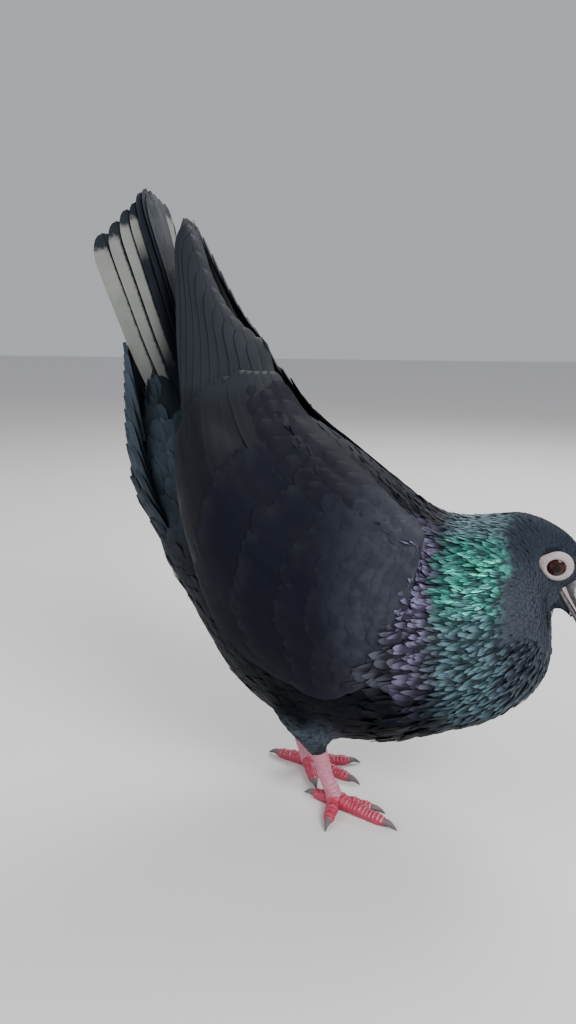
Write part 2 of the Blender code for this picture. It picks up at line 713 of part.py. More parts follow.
def tail_place(along, out, up):
    # Along the tail from its root, out to the side, and up from its middle plane.
    way = np.array((math.cos(TAIL_RISE), 0, math.sin(TAIL_RISE)))
    back = np.array((math.sin(TAIL_RISE), 0, -math.cos(TAIL_RISE)))
    return np.asarray(TAIL_ROOT, float) + way * along + np.array((0, out, 0)) + back * up


def tail_core(name, rows, home, grow=0.0):
    rings = []
    sides = 20
    for along, half_width, over, under in rows:
        ring = []
        for k in range(sides):
            turn = 2 * math.pi * k / sides
            c, s = math.cos(turn), math.sin(turn)
            high = (over if c > 0 else under) + grow
            ring.append(tail_place(along, s * (half_width + grow), c * high))
        rings.append(ring)
    return loft(name, rings, home)


def fan_place(along, share, up=0.0):
    # A place on the domed fan: share runs from -1 at its right edge to 1 at its left one.
    t = along / TAIL_SPAN
    width = TAIL_ROOT_WIDTH + (TAIL_TIP_WIDTH - TAIL_ROOT_WIDTH) * t
    tip_sag = RIGHT_TIP_SAG if share < 0 else LEFT_TIP_SAG
    sag = TAIL_ROOT_SAG + (tip_sag - TAIL_ROOT_SAG) * t
    return tail_place(along, width * share, up - sag * share ** 2)


def fan_vane(share, start, end, width, lift, home, steps=FLIGHT_STEPS):
    # One feather on the domed fan, from one distance along the tail to another.
    stations = []
    for t, wide in steps:
        along = start + (end - start) * t
        centre = fan_place(along, share)
        way = unit(fan_place(along + 1, share) - centre)
        side = unit(fan_place(along, share + 0.02) - fan_place(along, share - 0.02))
        normal = unit(np.cross(way, side))
        if normal[0] < 0:
            normal = -normal
        high = lift[0] + (lift[1] - lift[0]) * t
        row = [centre + normal * high + side * width * wide * j for j in (-0.5, 0.5)]
        stations.append((row, normal))
    return blade("vane", stations, VANE_THICK, home)


def make_tail(parts, whole, cutters):
    tail = tail_core("tail", TAIL_CORE, parts)
    pieces = new_collection("tail pieces", True)
    copy_of(whole, "rump", pieces)
    for side, lengths in ((-1, RIGHT_TAIL_LENGTHS), (1, LEFT_TAIL_LENGTHS)):
        for i, length in enumerate(lengths):
            share = side * (i + 0.45) / (len(lengths) - 0.55)
            if side < 0:
                share *= RIGHT_TAIL_REACH
            # The left feather of each pair lies over the right one at the middle of the tail.
            deep = -TAIL_STACK * (i + (1 if side < 0 else 0))
            fan_vane(share, 8, length, TAIL_VANE_WIDTH, (deep, deep), pieces)
    for i in range(TAIL_COVERTS):
        t = 2 * i / (TAIL_COVERTS - 1) - 1
        fan_vane(t * 0.8, 2, 50 - 18 * abs(t), TAIL_VANE_WIDTH, (1.0, 1.9 + 0.5 * (1 - abs(t))), pieces, VANE_STEPS)
    for root, root_down, tip, tip_down, count, spread in UNDER_TIERS:
        for i in range(count):
            t = 2 * i / (count - 1) - 1
            under_vane(t, (root, root_down), (tip, tip_down), spread, pieces)
    fuse(tail, pieces)
    return cut(tail, half_space("ahead of rump cut", *backwards(RUMP_PLANE, GAP / 2), cutters))


def under_vane(t, root, tip, spread, home):
    # Feathers under the tail curve round its underside.
    stations = []
    turn = t * UNDER_TURN
    for k, wide in VANE_STEPS:
        along = root[0] + (tip[0] - root[0]) * k
        down = root[1] + (tip[1] - root[1]) * k
        out = spread * t * (0.9 + 0.25 * k)
        centre = tail_place(along, out, -down * math.cos(turn))
        side = tail_place(0, math.cos(turn), math.sin(turn)) - tail_place(0, 0, 0)
        way = unit(tail_place(tip[0], 0, -tip[1]) - tail_place(root[0], 0, -root[1]))
        side = unit(side - way * np.dot(side, way))
        row = [centre + side * UNDER_WIDTH * wide * j for j in (-0.5, 0.5)]
        stations.append((row, unit(np.cross(way, side))))
    return blade("vane", stations, VANE_THICK, home)


def settle(parts):
    # The origin goes under the middle of the bird's box, at the ground.
    corners = [vert.co for obj in parts.objects for vert in obj.data.vertices]
    low = [min(c[i] for c in corners) for i in range(3)]
    high = [max(c[i] for c in corners) for i in range(3)]
    move = Vector((-(low[0] + high[0]) / 2, -(low[1] + high[1]) / 2, 0))
    for obj in parts.objects:
        obj.data.transform(Matrix.Translation(move))
    print("moved by", [round(v / MM, 3) for v in move])
    print("size", [round((h - l) / MM, 1) for l, h in zip(low, high)], "lowest", round(low[2] / MM, 3))


def paint(parts):
    # The longest name that fits wins, so that an eye ring is not painted as an eye.
    for obj in parts.objects:
        kind = max((word for word in FINISHES if obj.name.startswith(word)), key=len)
        obj.data.materials.clear()
        obj.data.materials.append(material(f"{obj.name} finish", *FINISHES[kind]))


def main():
    clear_scene()
    parts = new_collection("homing pigeon")
    cutters = new_collection("cutters", hidden=True)
    body_room = body_block("body room", cutters, GAP)
    whole, head, neck, torso = make_flesh(parts, cutters)
    make_eyes(parts, cutters, head)
    make_bill(parts, cutters, head)
    tail = make_tail(parts, whole, cutters)
    wing = make_wing(parts, [body_room])
    mirrored(wing, "wing_left", parts)
    make_leg(parts, cutters, "right", RIGHT_LEG, body_room)
    make_leg(parts, cutters, "left", LEFT_LEG, body_room)
    for obj in list(cutters.objects):
        bpy.data.objects.remove(obj, do_unlink=True)
    bpy.data.collections.remove(cutters)
    settle(parts)
    paint(parts)


main()
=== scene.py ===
import math

import bmesh
import bpy
import numpy as np
from mathutils import Matrix, Vector
from mathutils.bvhtree import BVHTree
from mathutils.kdtree import KDTree


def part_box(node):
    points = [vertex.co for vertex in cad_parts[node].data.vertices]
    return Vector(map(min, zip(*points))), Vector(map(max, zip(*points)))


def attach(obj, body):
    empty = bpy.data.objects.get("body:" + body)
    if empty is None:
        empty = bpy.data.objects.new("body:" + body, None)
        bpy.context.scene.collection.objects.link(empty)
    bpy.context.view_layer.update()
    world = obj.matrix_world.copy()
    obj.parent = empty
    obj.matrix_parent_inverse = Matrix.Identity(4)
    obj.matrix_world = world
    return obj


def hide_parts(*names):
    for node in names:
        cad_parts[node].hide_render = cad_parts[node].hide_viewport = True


# A homing pigeon with its tail raised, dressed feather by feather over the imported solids.
# Lengths are in millimetres from the bird's own origin, until a piece is finished.
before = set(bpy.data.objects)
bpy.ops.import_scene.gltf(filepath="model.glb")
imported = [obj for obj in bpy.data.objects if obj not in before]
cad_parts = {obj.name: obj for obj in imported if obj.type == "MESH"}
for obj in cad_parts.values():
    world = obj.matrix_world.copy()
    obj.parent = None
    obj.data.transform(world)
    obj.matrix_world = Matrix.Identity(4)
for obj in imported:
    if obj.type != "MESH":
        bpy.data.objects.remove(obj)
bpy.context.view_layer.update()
rng = np.random.default_rng(11)
mm = 0.001

headFrame = {
    "eyeX": 117.6, "eyeZ": 123.4,      # the eye's level on the mid plane
    "billDown": math.radians(58),
}
eyeLow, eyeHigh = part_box("eye_right")
standX = (eyeLow.x + eyeHigh.x) / 2 - headFrame["eyeX"] * mm
toFrame = Matrix.Translation((standX, 0, 0)) @ Matrix.Scale(mm, 4)


# Shared shape tools

def curve(rows, t):
    # A smooth line through rows of numbers, with t from 0 to 1 over them all.
    rows = np.asarray(rows, float)
    last = len(rows) - 1
    place = min(max(t, 0.0), 1.0) * last
    i = min(int(place), last - 1)
    f = place - i
    before = rows[i - 1] if i > 0 else 2 * rows[0] - rows[1]
    after = rows[i + 2] if i < last - 1 else 2 * rows[last] - rows[last - 1]
    a, b = rows[i], rows[i + 1]
    return 0.5 * (2 * a + (b - before) * f + (2 * before - 5 * a + 4 * b - after) * f ** 2
                  + (3 * a - before - 3 * b + after) * f ** 3)


def lengthOf(v):
    return np.linalg.norm(v, axis=-1, keepdims=True)


def unit(v):
    v = np.asarray(v, float)
    return v / np.maximum(lengthOf(v), 1e-9)


def treeOf(points):
    # A tree to find the nearest of many points.
    tree = KDTree(len(points))
    for i, point in enumerate(points):
        tree.insert(point, i)
    tree.balance()
    return tree


def headPlace(ahead, up, out=0.0):
    # A point given by the head's own directions: towards the bill's tip, the crown and the side.
    c, s = math.cos(headFrame["billDown"]), math.sin(headFrame["billDown"])
    return Vector((headFrame["eyeX"] + c * ahead + s * up, out, headFrame["eyeZ"] - s * ahead + c * up))


def ovalMatrix(top, bottom, halfWidth, out=0.0):
    # Turns the unit circle into an oval that runs from top to bottom and halfWidth to each side.
    half = (Vector(top) - Vector(bottom)) / 2
    side = Vector((0, halfWidth, 0))
    matrix = Matrix((half, side, half.cross(side).normalized())).transposed().to_4x4()
    matrix.translation = (Vector(top) + Vector(bottom)) / 2 + Vector((0, out, 0))
    return matrix


def roundMatrix(centre, along, radius):
    # Turns the unit circle into one round a limb.
    turn = Vector(along).to_track_quat("Z", "Y").to_matrix().to_4x4()
    return Matrix.Translation(centre) @ turn @ Matrix.Diagonal((radius, radius, 1, 1))


def linkedTo(verts, kind):
    # The edges or faces at some points, each once and always in the same order.
    return list(dict.fromkeys(item for vert in verts for item in getattr(vert, kind)))


def loft(bm, matrices, sides):
    # A closed form over a row of rings.
    loops = []
    for matrix in matrices:
        ring = bmesh.ops.create_circle(bm, cap_ends=False, radius=1, segments=sides, matrix=matrix)["verts"]
        loops.append(linkedTo(ring, "link_edges"))
    for first, second in zip(loops, loops[1:]):
        bmesh.ops.bridge_loops(bm, edges=first + second)
    for loop in (loops[0], loops[-1]):
        bmesh.ops.edgeloop_fill(bm, edges=loop)


def headRings(rows, count, out=0.0):
    rows = [curve(rows, k / count) for k in range(count + 1)]
    return [ovalMatrix(headPlace(ahead, top), headPlace(ahead, bottom), wide, out)
            for ahead, top, bottom, wide in rows]


def limbRings(path, radii):
    path = [Vector(p) for p in path]
    ways = [after - before for before, after in zip(path[:1] + path, path[1:] + path[-1:])]
    return [roundMatrix(*ring) for ring in zip(path, ways, radii)]


def addObject(name, data):
    made = bpy.data.objects.new(name, data)
    bpy.context.scene.collection.objects.link(made)
    return made


def meshOf(bm, name):
    mesh = bpy.data.meshes.new(name)
    bm.to_mesh(mesh)
    bm.free()
    return mesh


def showMesh(mesh, name, finish, replaced=(), sharp=50):
    # Puts a finished mesh in the scene as one piece of the bird.
    mesh.shade_smooth()
    mesh.set_sharp_from_angle(angle=math.radians(sharp))
    piece = addObject(name, mesh)
    mesh.materials.clear()
    mesh.materials.append(finish)
    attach(piece, "root")
    if replaced:
        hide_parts(*replaced)
    return piece


def finishPiece(bm, name, finish, replaced=(), sharp=50):
    bmesh.ops.remove_doubles(bm, verts=bm.verts, dist=1e-4)
    bmesh.ops.recalc_face_normals(bm, faces=bm.faces)
    bmesh.ops.transform(bm, matrix=toFrame, verts=bm.verts)
    return showMesh(meshOf(bm, name), name, finish, replaced, sharp)


def mirrorOf(bm):
    twin = bm.copy()
    bmesh.ops.scale(twin, vec=(1, -1, 1), verts=twin.verts)
    bmesh.ops.reverse_faces(twin, faces=twin.faces)
    return twin


def finishPair(bm, name, finish, replaced=None, sharp=50):
    # A piece of the right side and its mirror image.
    for word, form in (("right", bm), ("left", mirrorOf(bm))):
        nodes = [f"{replaced}_{word}"] if replaced else ()
        finishPiece(form, f"{name}_{word}", finish, nodes, sharp)


# Shader tools

def newGroup(name, inputs, outputs):
    group = bpy.data.node_groups.new(name, "ShaderNodeTree")
    for label, kind, value in inputs:
        socket = group.interface.new_socket(label, in_out="INPUT", socket_type=kind)
        socket.default_value = value
    for label, kind in outputs:
        group.interface.new_socket(label, in_out="OUTPUT", socket_type=kind)
    return group, group.nodes.new("NodeGroupInput"), group.nodes.new("NodeGroupOutput")


def feed(tree, socket, value):
    # A number, a colour or another node's output goes into a socket.
    if isinstance(value, (int, float)):
        socket.default_value = value
    elif isinstance(value, tuple):
        socket.default_value = (*value, 1)
    elif value is not None:
        tree.links.new(value, socket)


def calc(tree, kind, a, b=None, clamp=False):
    node = tree.nodes.new("ShaderNodeMath")
    node.operation = kind
    node.use_clamp = clamp
    for socket, value in zip(node.inputs, (a, b)):
        feed(tree, socket, value)
    return node.outputs[0]


def chain(tree, kind, values):
    out = values[0]
    for value in values[1:]:
        out = calc(tree, kind, out, value)
    return out


def times(tree, *values):
    return chain(tree, "MULTIPLY", values)


def plus(tree, *values):
    return chain(tree, "ADD", values)


def minus(tree, *values):
    return chain(tree, "SUBTRACT", values)


def ramp(tree, value, low, high, lowOut=0.0, highOut=1.0):
    # Soft step: lowOut where value is under low, highOut where it is over high.
    node = tree.nodes.new("ShaderNodeMapRange")
    node.interpolation_type = "SMOOTHSTEP"
    tree.links.new(value, node.inputs["Value"])
    for label, number in (("From Min", low), ("From Max", high), ("To Min", lowOut), ("To Max", highOut)):
        node.inputs[label].default_value = number
    return node.outputs["Result"]


def mix(tree, share, a, b, kind="MIX"):
    node = tree.nodes.new("ShaderNodeMix")
    node.data_type = "RGBA"
    node.blend_type = kind
    for place, value in ((0, share), (6, a), (7, b)):
        feed(tree, node.inputs[place], value)
    return node.outputs[2]


def overlaid(tree, base, *layers):
    # Colours laid over a base, each with its own share.
    for share, over in layers:
        base = mix(tree, share, base, over)
    return base


def noise(tree, coords, scale, detail, stretch=None):
    node = tree.nodes.new("ShaderNodeTexNoise")
    node.inputs["Scale"].default_value = scale
    node.inputs["Detail"].default_value = detail
    if stretch:
        mapping = tree.nodes.new("ShaderNodeMapping")
        mapping.inputs["Scale"].default_value = stretch
        tree.links.new(coords, mapping.inputs["Vector"])
        coords = mapping.outputs[0]
    tree.links.new(coords, node.inputs["Vector"])
    return node.outputs["Fac"]


def cells(tree, coords, scale):
    node = tree.nodes.new("ShaderNodeTexVoronoi")
    node.inputs["Scale"].default_value = scale
    tree.links.new(coords, node.inputs["Vector"])
    return node.outputs["Distance"]


def parts(tree, vector):
    node = tree.nodes.new("ShaderNodeSeparateXYZ")
    tree.links.new(vector, node.inputs[0])
    return node.outputs


def attribute(tree, name):
    node = tree.nodes.new("ShaderNodeAttribute")
    node.attribute_name = name
    return node.outputs["Fac"]


def uvMap(tree, name):
    node = tree.nodes.new("ShaderNodeUVMap")
    node.uv_map = name
    return node.outputs[0]


def birdCoords(tree):
    # Object coordinates as the bird's own millimetres.
    coords = tree.nodes.new("ShaderNodeTexCoord")
    mapping = tree.nodes.new("ShaderNodeMapping")
    mapping.inputs["Location"].default_value = (-standX / mm, 0, 0)
    mapping.inputs["Scale"].default_value = (1 / mm, 1 / mm, 1 / mm)
    tree.links.new(coords.outputs["Object"], mapping.inputs["Vector"])
    return mapping.outputs[0]


def newFinish(name, settings):
    # A material with its shader's fixed sockets set.
    finish = bpy.data.materials.new(name)
    finish.use_nodes = True
    shader = finish.node_tree.nodes["Principled BSDF"]
    for label, value in settings.items():
        shader.inputs[label].default_value = value
    return finish, finish.node_tree


def dress(tree, colour, height=None, depth=0.0001, strength=1.0, roughness=None):
    # Base colour, relief and roughness of a material.
    shader = tree.nodes["Principled BSDF"]
    tree.links.new(colour, shader.inputs["Base Color"])
    if roughness:
        tree.links.new(roughness, shader.inputs["Roughness"])
    if height:
        node = tree.nodes.new("ShaderNodeBump")
        node.inputs["Strength"].default_value = strength
        node.inputs["Distance"].default_value = depth
        tree.links.new(height, node.inputs["Height"])
        tree.links.new(node.outputs[0], shader.inputs["Normal"])


# Colours of the plumage, the same for the skin and the coat over it

plumageTones = {
    "back": (0.0040, 0.0047, 0.0080),
    # The belly is darker than the back: painted shade under the body.
    "belly": (0.0008, 0.0011, 0.0032),
    # Lighter grey on the body under the wing's front: a painted highlight.
    "shoulderHighlight": (0.0340, 0.0360, 0.0480),
    "teal": (0.060, 0.104, 0.124),
    "throat": (0.0300, 0.0390, 0.0530),
    "purple": (0.112, 0.100, 0.172),
    "green": (0.060, 0.370, 0.280),
    "head": (0.0150, 0.0205, 0.0300),
    "cheek": (0.0370, 0.0440, 0.0580),
    # The rump and the tail's coverts are lighter: painted light in the shade of the wing and tail.
    "rump": (0.0250, 0.0370, 0.0480),
    "shin": (0.0360, 0.0480, 0.0600),
    # A zone is where all its soft steps hold. Each step has its direction, where it starts and where
    # it ends, and 1, 0 where it falls. Side is the distance from the mid plane. Edges of the wavy
    # directions waver, and wavyX2 wavers less.
    "zones": {
        "back": (("wavyZ", 60, 105),),
        "shoulderHighlight": (("x", 36, 52), ("z", 67, 80), ("side", 34, 40)),
        "teal": (("wavyX", 70, 80), ("z", 44, 74)),
        "throat": (("wavyX", 94, 106), ("z", 50, 76)),
        "purple": (("wavyX2", 57.5, 60.5), ("wavyX", 66, 74, 1, 0), ("wavyZ", 48, 124), ("side", 10, 28)),
        "green": (("wavyX", 70, 80), ("wavyX", 97, 104, 1, 0), ("wavyZ", 96, 120), ("side", 14, 27),
                  ("patches", 0.38, 0.6, 0.25, 1)),
        "head": (("wavyX", 93, 103), ("wavyZ", 84, 108)),
        "cheek": (("wavyZ", 112, 134, 1, 0),),
        "rump": (("x", -42, -14, 1, 0), ("wavyZ", 100, 175)),
        "shin": (("wavyZ", 38, 52, 1, 0), ("x", 28, 38, 1, 0)),
        "neck": (("wavyX2", 57, 62),),
    },
}


def makeMarkings():
    group, _, out = newGroup(
        "pigeonMarkings", [], [("Colour", "NodeSocketColor"), ("Gloss", "NodeSocketFloat")])
    tones = plumageTones
    coords = birdCoords(group)
    x, y, z = parts(group, coords)
    rough = minus(group, noise(group, coords, 0.11, 3), 0.5)
    fine = minus(group, noise(group, coords, 0.5, 2), 0.5)
    wave = plus(group, times(group, rough, 14), times(group, fine, 6))
    directions = {
        "x": x, "z": z, "side": calc(group, "ABSOLUTE", y), "wavyX": plus(group, x, wave),
        "wavyZ": plus(group, z, wave), "wavyX2": plus(group, x, times(group, wave, 0.35)),
        "patches": noise(group, coords, 0.32, 2, (0.5, 1.5, 1.5))}
    zone = {name: times(group, *(ramp(group, directions[step[0]], *step[1:]) for step in steps))
            for name, steps in tones["zones"].items()}
    slate = mix(group, zone["cheek"], tones["head"], tones["cheek"])
    colour = overlaid(group, tones["belly"], *(
        (zone[name], slate if name == "head" else tones[name])
        for name in ("back", "shoulderHighlight", "teal", "throat", "purple", "green", "head", "rump", "shin")))
    gloss = calc(group, "ADD", zone["green"], times(group, zone["teal"], 0.5), True)
    gloss = calc(group, "MAXIMUM", gloss, times(group, zone["purple"], 0.6))
    gloss = times(group, gloss, minus(group, 1.0, zone["head"]), zone["neck"])
    group.links.new(colour, out.inputs["Colour"])
    group.links.new(gloss, out.inputs["Gloss"])
    return group


def makeBarbs():
    # Fine slanting barbs to both sides of a shaft, on a vane's own map: u across it and v along it.
    number = "NodeSocketFloat"
    group, given, out = newGroup(
        "featherBarbs", [("Count", number, 60.0), ("Shaft", number, 0.05)],
        [(label, number) for label in ("Barb", "Shaft", "Along", "Across", "Shade", "Streak")])
    u, v, _ = parts(group, uvMap(group, "vane"))
    off = calc(group, "ABSOLUTE", minus(group, u, 0.5))
    phase = times(group, minus(group, v, times(group, off, 0.35)), given.outputs["Count"])
    line = calc(group, "ABSOLUTE", minus(group, calc(group, "FRACT", phase), 0.5))
    edge = calc(group, "DIVIDE", off, given.outputs["Shaft"])
    shade = attribute(group, "shade")
    # Streaks run along the vane, and differ from feather to feather.
    spot = group.nodes.new("ShaderNodeCombineXYZ")
    for socket, value, scale in zip(spot.inputs, (u, v, shade), (4.5, 1.3, 90)):
        group.links.new(times(group, value, scale), socket)
    streak = ramp(group, noise(group, spot.outputs[0], 1.0, 2), 0.42, 0.68)
    for label, value in (("Barb", times(group, line, 2)), ("Shaft", ramp(group, edge, 0.6, 1.0, 1, 0)),
                         ("Along", v), ("Across", u), ("Shade", shade), ("Streak", streak)):
        group.links.new(value, out.inputs[label])
    return group


markings = makeMarkings()
barbs = makeBarbs()


def useGroup(tree, group, **values):
    node = tree.nodes.new("ShaderNodeGroup")
    node.node_tree = group
    for label, value in values.items():
        node.inputs[label].default_value = value
    return node.outputs


bloom = {"Sheen Weight": 0.02, "Specular IOR Level": 0.07}     # shared by all feathers
quillSheen = {**bloom, "Sheen Tint": (0.7, 0.8, 1.0, 1)}
downySheen = {**bloom, "Sheen Roughness": 0.45, "Sheen Tint": (0.62, 0.72, 1.0, 1)}


def featherFinish(name, barbCount, roughness, sheen, contrast, tipShading, streaks=0.0, metal=0.0, bump=0.00004):
    # The zone's colour, each feather a little lighter or darker. tipShading is where along a feather its
    # painted shade at the covered root turns to painted light at the tip, from and to, and how bright it is
    # there.
    finish, tree = newFinish(name, {**downySheen, "Roughness": roughness, "Sheen Weight": sheen})
    tones = useGroup(tree, markings)
    vane = useGroup(tree, barbs, Count=barbCount)
    level = times(tree, ramp(tree, vane["Shade"], 0, 1, 1 - contrast, 1 + contrast),
                  ramp(tree, vane["Along"], *tipShading))
    # Where the plumage is glossy, only some streaks catch the light.
    if streaks:
        dull = times(tree, minus(tree, 1.0, vane["Streak"]), tones["Gloss"])
        level = times(tree, level, ramp(tree, dull, 0, 1, 1, 1 - streaks))
    grey = tree.nodes.new("ShaderNodeCombineColor")
    for socket in grey.inputs:
        tree.links.new(level, socket)
    shine = None
    if metal:
        lit = times(tree, tones["Gloss"], ramp(tree, vane["Streak"], 0, 1, 0.25, 1))
        tree.links.new(times(tree, lit, metal), tree.nodes["Principled BSDF"].inputs["Metallic"])
        shine = ramp(tree, lit, 0, 1, roughness, roughness - 0.2)
    dress(tree, mix(tree, 1.0, tones["Colour"], grey.outputs[0], "MULTIPLY"), vane["Barb"], bump, 0.5, shine)
    return finish


def skinFinish():
    finish, tree = newFinish("downy skin", {"Roughness": 0.85, "Specular IOR Level": 0.1})
    tone = useGroup(tree, markings)["Colour"]
    grain = noise(tree, birdCoords(tree), 1.5, 4)
    dark, light = (mix(tree, 1.0, tone, (share,) * 3, "MULTIPLY") for share in (0.35, 0.7))
    dress(tree, mix(tree, grain, dark, light), grain, 0.0003)
    return finish


print("Stage 1: materials ready")


# The skin: one form from the bill's root to the tail, with the thighs

flesh = {
    # Each row is one oval: back x, back z, belly x, belly z, half width.
    "body": ((-12, 184, -60, 137, 22), (6, 180, -63, 112, 33), (26, 168, -48, 90, 40),
             (43, 156, -24, 53, 44), (58, 145, 8, 33, 46), (72, 139, 42, 31.5, 45),
             (84, 139, 70, 39.5, 42), (95, 141, 93, 48, 37), (104, 140, 109, 60, 30),
             (111, 131, 117, 72, 22), (115, 117, 119, 84, 12)),
    # Distance ahead of the eye, crown above it, chin below it, half width.
    "head": ((-26, -5, -21, 8), (-22, 0, -21.5, 11), (-17, 4.4, -21, 13), (-9, 9.2, -19.5, 13.9),
             (-2, 11.2, -17.8, 13.4), (4, 11.4, -16, 11.4), (9, 9.8, -14, 8.7), (12.5, 7.6, -12, 6.4)),
    "chin": ((6, -4.4, -16, 8.0), (13, -4.0, -12.8, 6.9), (18, -4.2, -11, 5.9), (22, -5, -9.4, 4.3),
             (26.5, -5.8, -7.8, 2.2)),
    # Centre and radius.
    "thighs": (((8, -17, 78, 14), (11, -22, 62, 16), (15, -23.5, 48, 12.5), (19, -21.5, 36, 8),
                (20, -18.5, 27, 5.2)),
               ((0, 17, 78, 14), (1, 22, 62, 16), (0, 23.5, 48, 12.5), (-3, 21.5, 36, 8),
                (-4, 18.5, 27, 5.2))),
    "coatDepth": 1.3,     # how far the skin lies inside the solids
    "voxel": 1.5, "smooth": 5,
    # The same for the form on which the coat lies, and how far it takes in the wings.
    "lieDepth": 1.0, "lieVoxel": 2.0, "lieSmooth": 12, "wingRise": 1.0,
}

tail = {
    "root": (-31, 0, 162), "rise": math.radians(108),
    # Distance along the tail, half width, thickness over and under the feathers' plane.
    "core": ((-34, 20, 14, 46), (-16, 24, 15, 46), (4, 22, 7, 42), (22, 18, -5, 37), (40, 15, -10, 29),
             (55, 9, -12, 18)),
    # Lengths from the middle feather outwards; the right edge of the fan hangs lower than the left one.
    "lengths": {-1: (123, 121, 117.5, 114.5, 110.5, 105), 1: (122.5, 122.5, 122.5, 122, 120.5, 113)},
    "tipSag": {-1: 14.5, 1: 1}, "rootSag": 18, "span": 112, "reach": {-1: 0.93, 1: 1},
    "rootWidth": 12, "tipWidth": 29,
    "vaneWidth": 15.5, "vaneThick": 0.25, "camber": 0.5, "stack": 0.8,
}


def tailPlace(along, out, up):
    # Along the tail from its root, out to the side, and up from its middle plane.
    c, s = math.cos(tail["rise"]), math.sin(tail["rise"])
    return np.array(tail["root"]) + np.array((c * along + s * up, out, s * along - c * up))


# The wing's face, shared by the feathers of both wings

wing = {
    "lower": ((60, -43, 91), (44, -48, 71), (22, -51, 70), (-10.5, -52, 92.5), (-28, -50, 128),
              (-35.3, -46, 167), (-37.5, -38, 200), (-40, -26, 233), (-43.5, -8, 266)),
    "middle": ((66, -45, 116), (46, -56, 115), (26, -58, 122), (3, -57, 138.5), (-13, -52, 161),
               (-21, -44.5, 182.5), (-25.8, -34, 204), (-32.5, -20.5, 230.5), (-43.7, -6.5, 267)),
    "upper": ((67, -30, 131), (56, -28, 137), (40, -26, 148.5), (22, -23, 162.5), (4, -18.5, 178.5),
              (-7.5, -13, 195.5), (-14.8, -10, 210), (-27.5, -7, 232), (-43.5, -5, 268)),
    # How thick the flesh is along the wing, how thick at its edges, and where it ends.
    "depth": (9, 12, 13, 12, 10, 8, 5, 2.5, 1), "edge": 1.2, "fleshEnd": 0.62,
    "length": 215,     # from wrist to tip
}


def wingPlace(a, b):
    # a runs from the wrist to the wing's tip, b from its lower edge to its upper one.
    low, mid, top = (curve(wing[edge], a) for edge in ("lower", "middle", "upper"))
    return low * (1 - b) * (1 - 2 * b) + mid * 4 * b * (1 - b) + top * b * (2 * b - 1)


def wingOut(a, b):
    a0, a1 = max(a - 0.01, 0), min(a + 0.01, 1)
    across, along = wingPlace(a, b + 0.01) - wingPlace(a, b - 0.01), wingPlace(a1, b) - wingPlace(a0, b)
    out = unit(np.cross(across, along))
    return out if out[1] < 0 else -out


def wingThick(a, b):
    middle = float(curve([(d,) for d in wing["depth"]], a)[0])
    return wing["edge"] + (middle - wing["edge"]) * math.sin(math.pi * min(max(b, 0), 1))


def addSlab(bm, outer, inner, columns, rows):
    # A closed sheet between two faces, each given by a place for a and b from 0 to 1.
    rims = []
    for place in (outer, inner):
        grid = bmesh.ops.create_grid(bm, x_segments=columns, y_segments=rows, size=0.5)["verts"]
        for vert in grid:
            vert.co = Vector(place(vert.co.x + 0.5, vert.co.y + 0.5))
        rims += [edge for edge in linkedTo(grid, "link_edges") if edge.is_boundary]
    bmesh.ops.bridge_loops(bm, edges=rims)


def wingSlab(bm, deep):
    # The wing's flesh, from so deep under its face.
    def inside(a, b, thick):
        a = a * wing["fleshEnd"]
        return wingPlace(a, b) - wingOut(a, b) * (deep + (wingThick(a, b) if thick else 0))

    addSlab(bm, lambda a, b: inside(a, b, False), lambda a, b: inside(a, b, True), 24, 14)


def bodyForms(bm):
    rows = [curve(flesh["body"], k / 24) for k in range(25)]
    loft(bm, [ovalMatrix((bx, 0, bz), (vx, 0, vz), wide) for bx, bz, vx, vz, wide in rows], 40)
    loft(bm, headRings(flesh["head"], 14), 32)
    loft(bm, headRings(flesh["chin"], 6), 16)
    for rows in flesh["thighs"]:
        rows = [curve(rows, k / 8) for k in range(9)]
        loft(bm, limbRings([r[:3] for r in rows], [r[3] for r in rows]), 20)
    loft(bm, [ovalMatrix(tailPlace(along, 0, over), tailPlace(along, 0, -under), wide)
              for along, wide, over, under in tail["core"]], 32)


def joined(bm, name, voxel, smooth, shrink):
    # One closed skin over all the forms, softened and moved inwards.
    bmesh.ops.recalc_face_normals(bm, faces=bm.faces)
    bmesh.ops.transform(bm, matrix=toFrame, verts=bm.verts)
    blank = addObject(name, meshOf(bm, name))
    remesh = blank.modifiers.new("join", "REMESH")
    remesh.mode = "VOXEL"
    remesh.voxel_size = voxel * mm
    soften = blank.modifiers.new("soften", "SMOOTH")
    soften.factor = 0.6
    soften.iterations = smooth
    inwards = blank.modifiers.new("inwards", "DISPLACE")
    inwards.strength = -shrink * mm
    inwards.mid_level = 0
    made = bpy.data.meshes.new_from_object(blank.evaluated_get(bpy.context.evaluated_depsgraph_get()))
    bpy.data.objects.remove(blank)
    made.name = name
    return made


def surfaceOf(mesh):
    # The mesh's points in the bird's millimetres, its faces, and a tree to find the nearest place.
    points = np.empty(len(mesh.vertices) * 3)
    mesh.vertices.foreach_get("co", points)
    points = (points.reshape(-1, 3) - (standX, 0, 0)) / mm
    faces = [tuple(f.vertices) for f in mesh.polygons]
    return points, faces, BVHTree.FromPolygons([Vector(p) for p in points], faces)


def makeSkin():
    bm = bmesh.new()
    bodyForms(bm)
    mesh = joined(bm, "skin", flesh["voxel"], flesh["smooth"], flesh["coatDepth"])
    skin = showMesh(mesh, "skin", skinFinish(),
                    ("head", "neck", "torso", "thigh_right", "thigh_left"), 180)
    # The coat lies on the body and the wings together.
    bm = bmesh.new()
    wingSlab(bm, -flesh["wingRise"])
    mesh = meshOf(mirrorOf(bm), "left wing")
    bm.from_mesh(mesh)
    bpy.data.meshes.remove(mesh)
    bodyForms(bm)
    under = joined(bm, "lie of the coat", flesh["lieVoxel"], flesh["lieSmooth"], flesh["lieDepth"])
    return skin, under


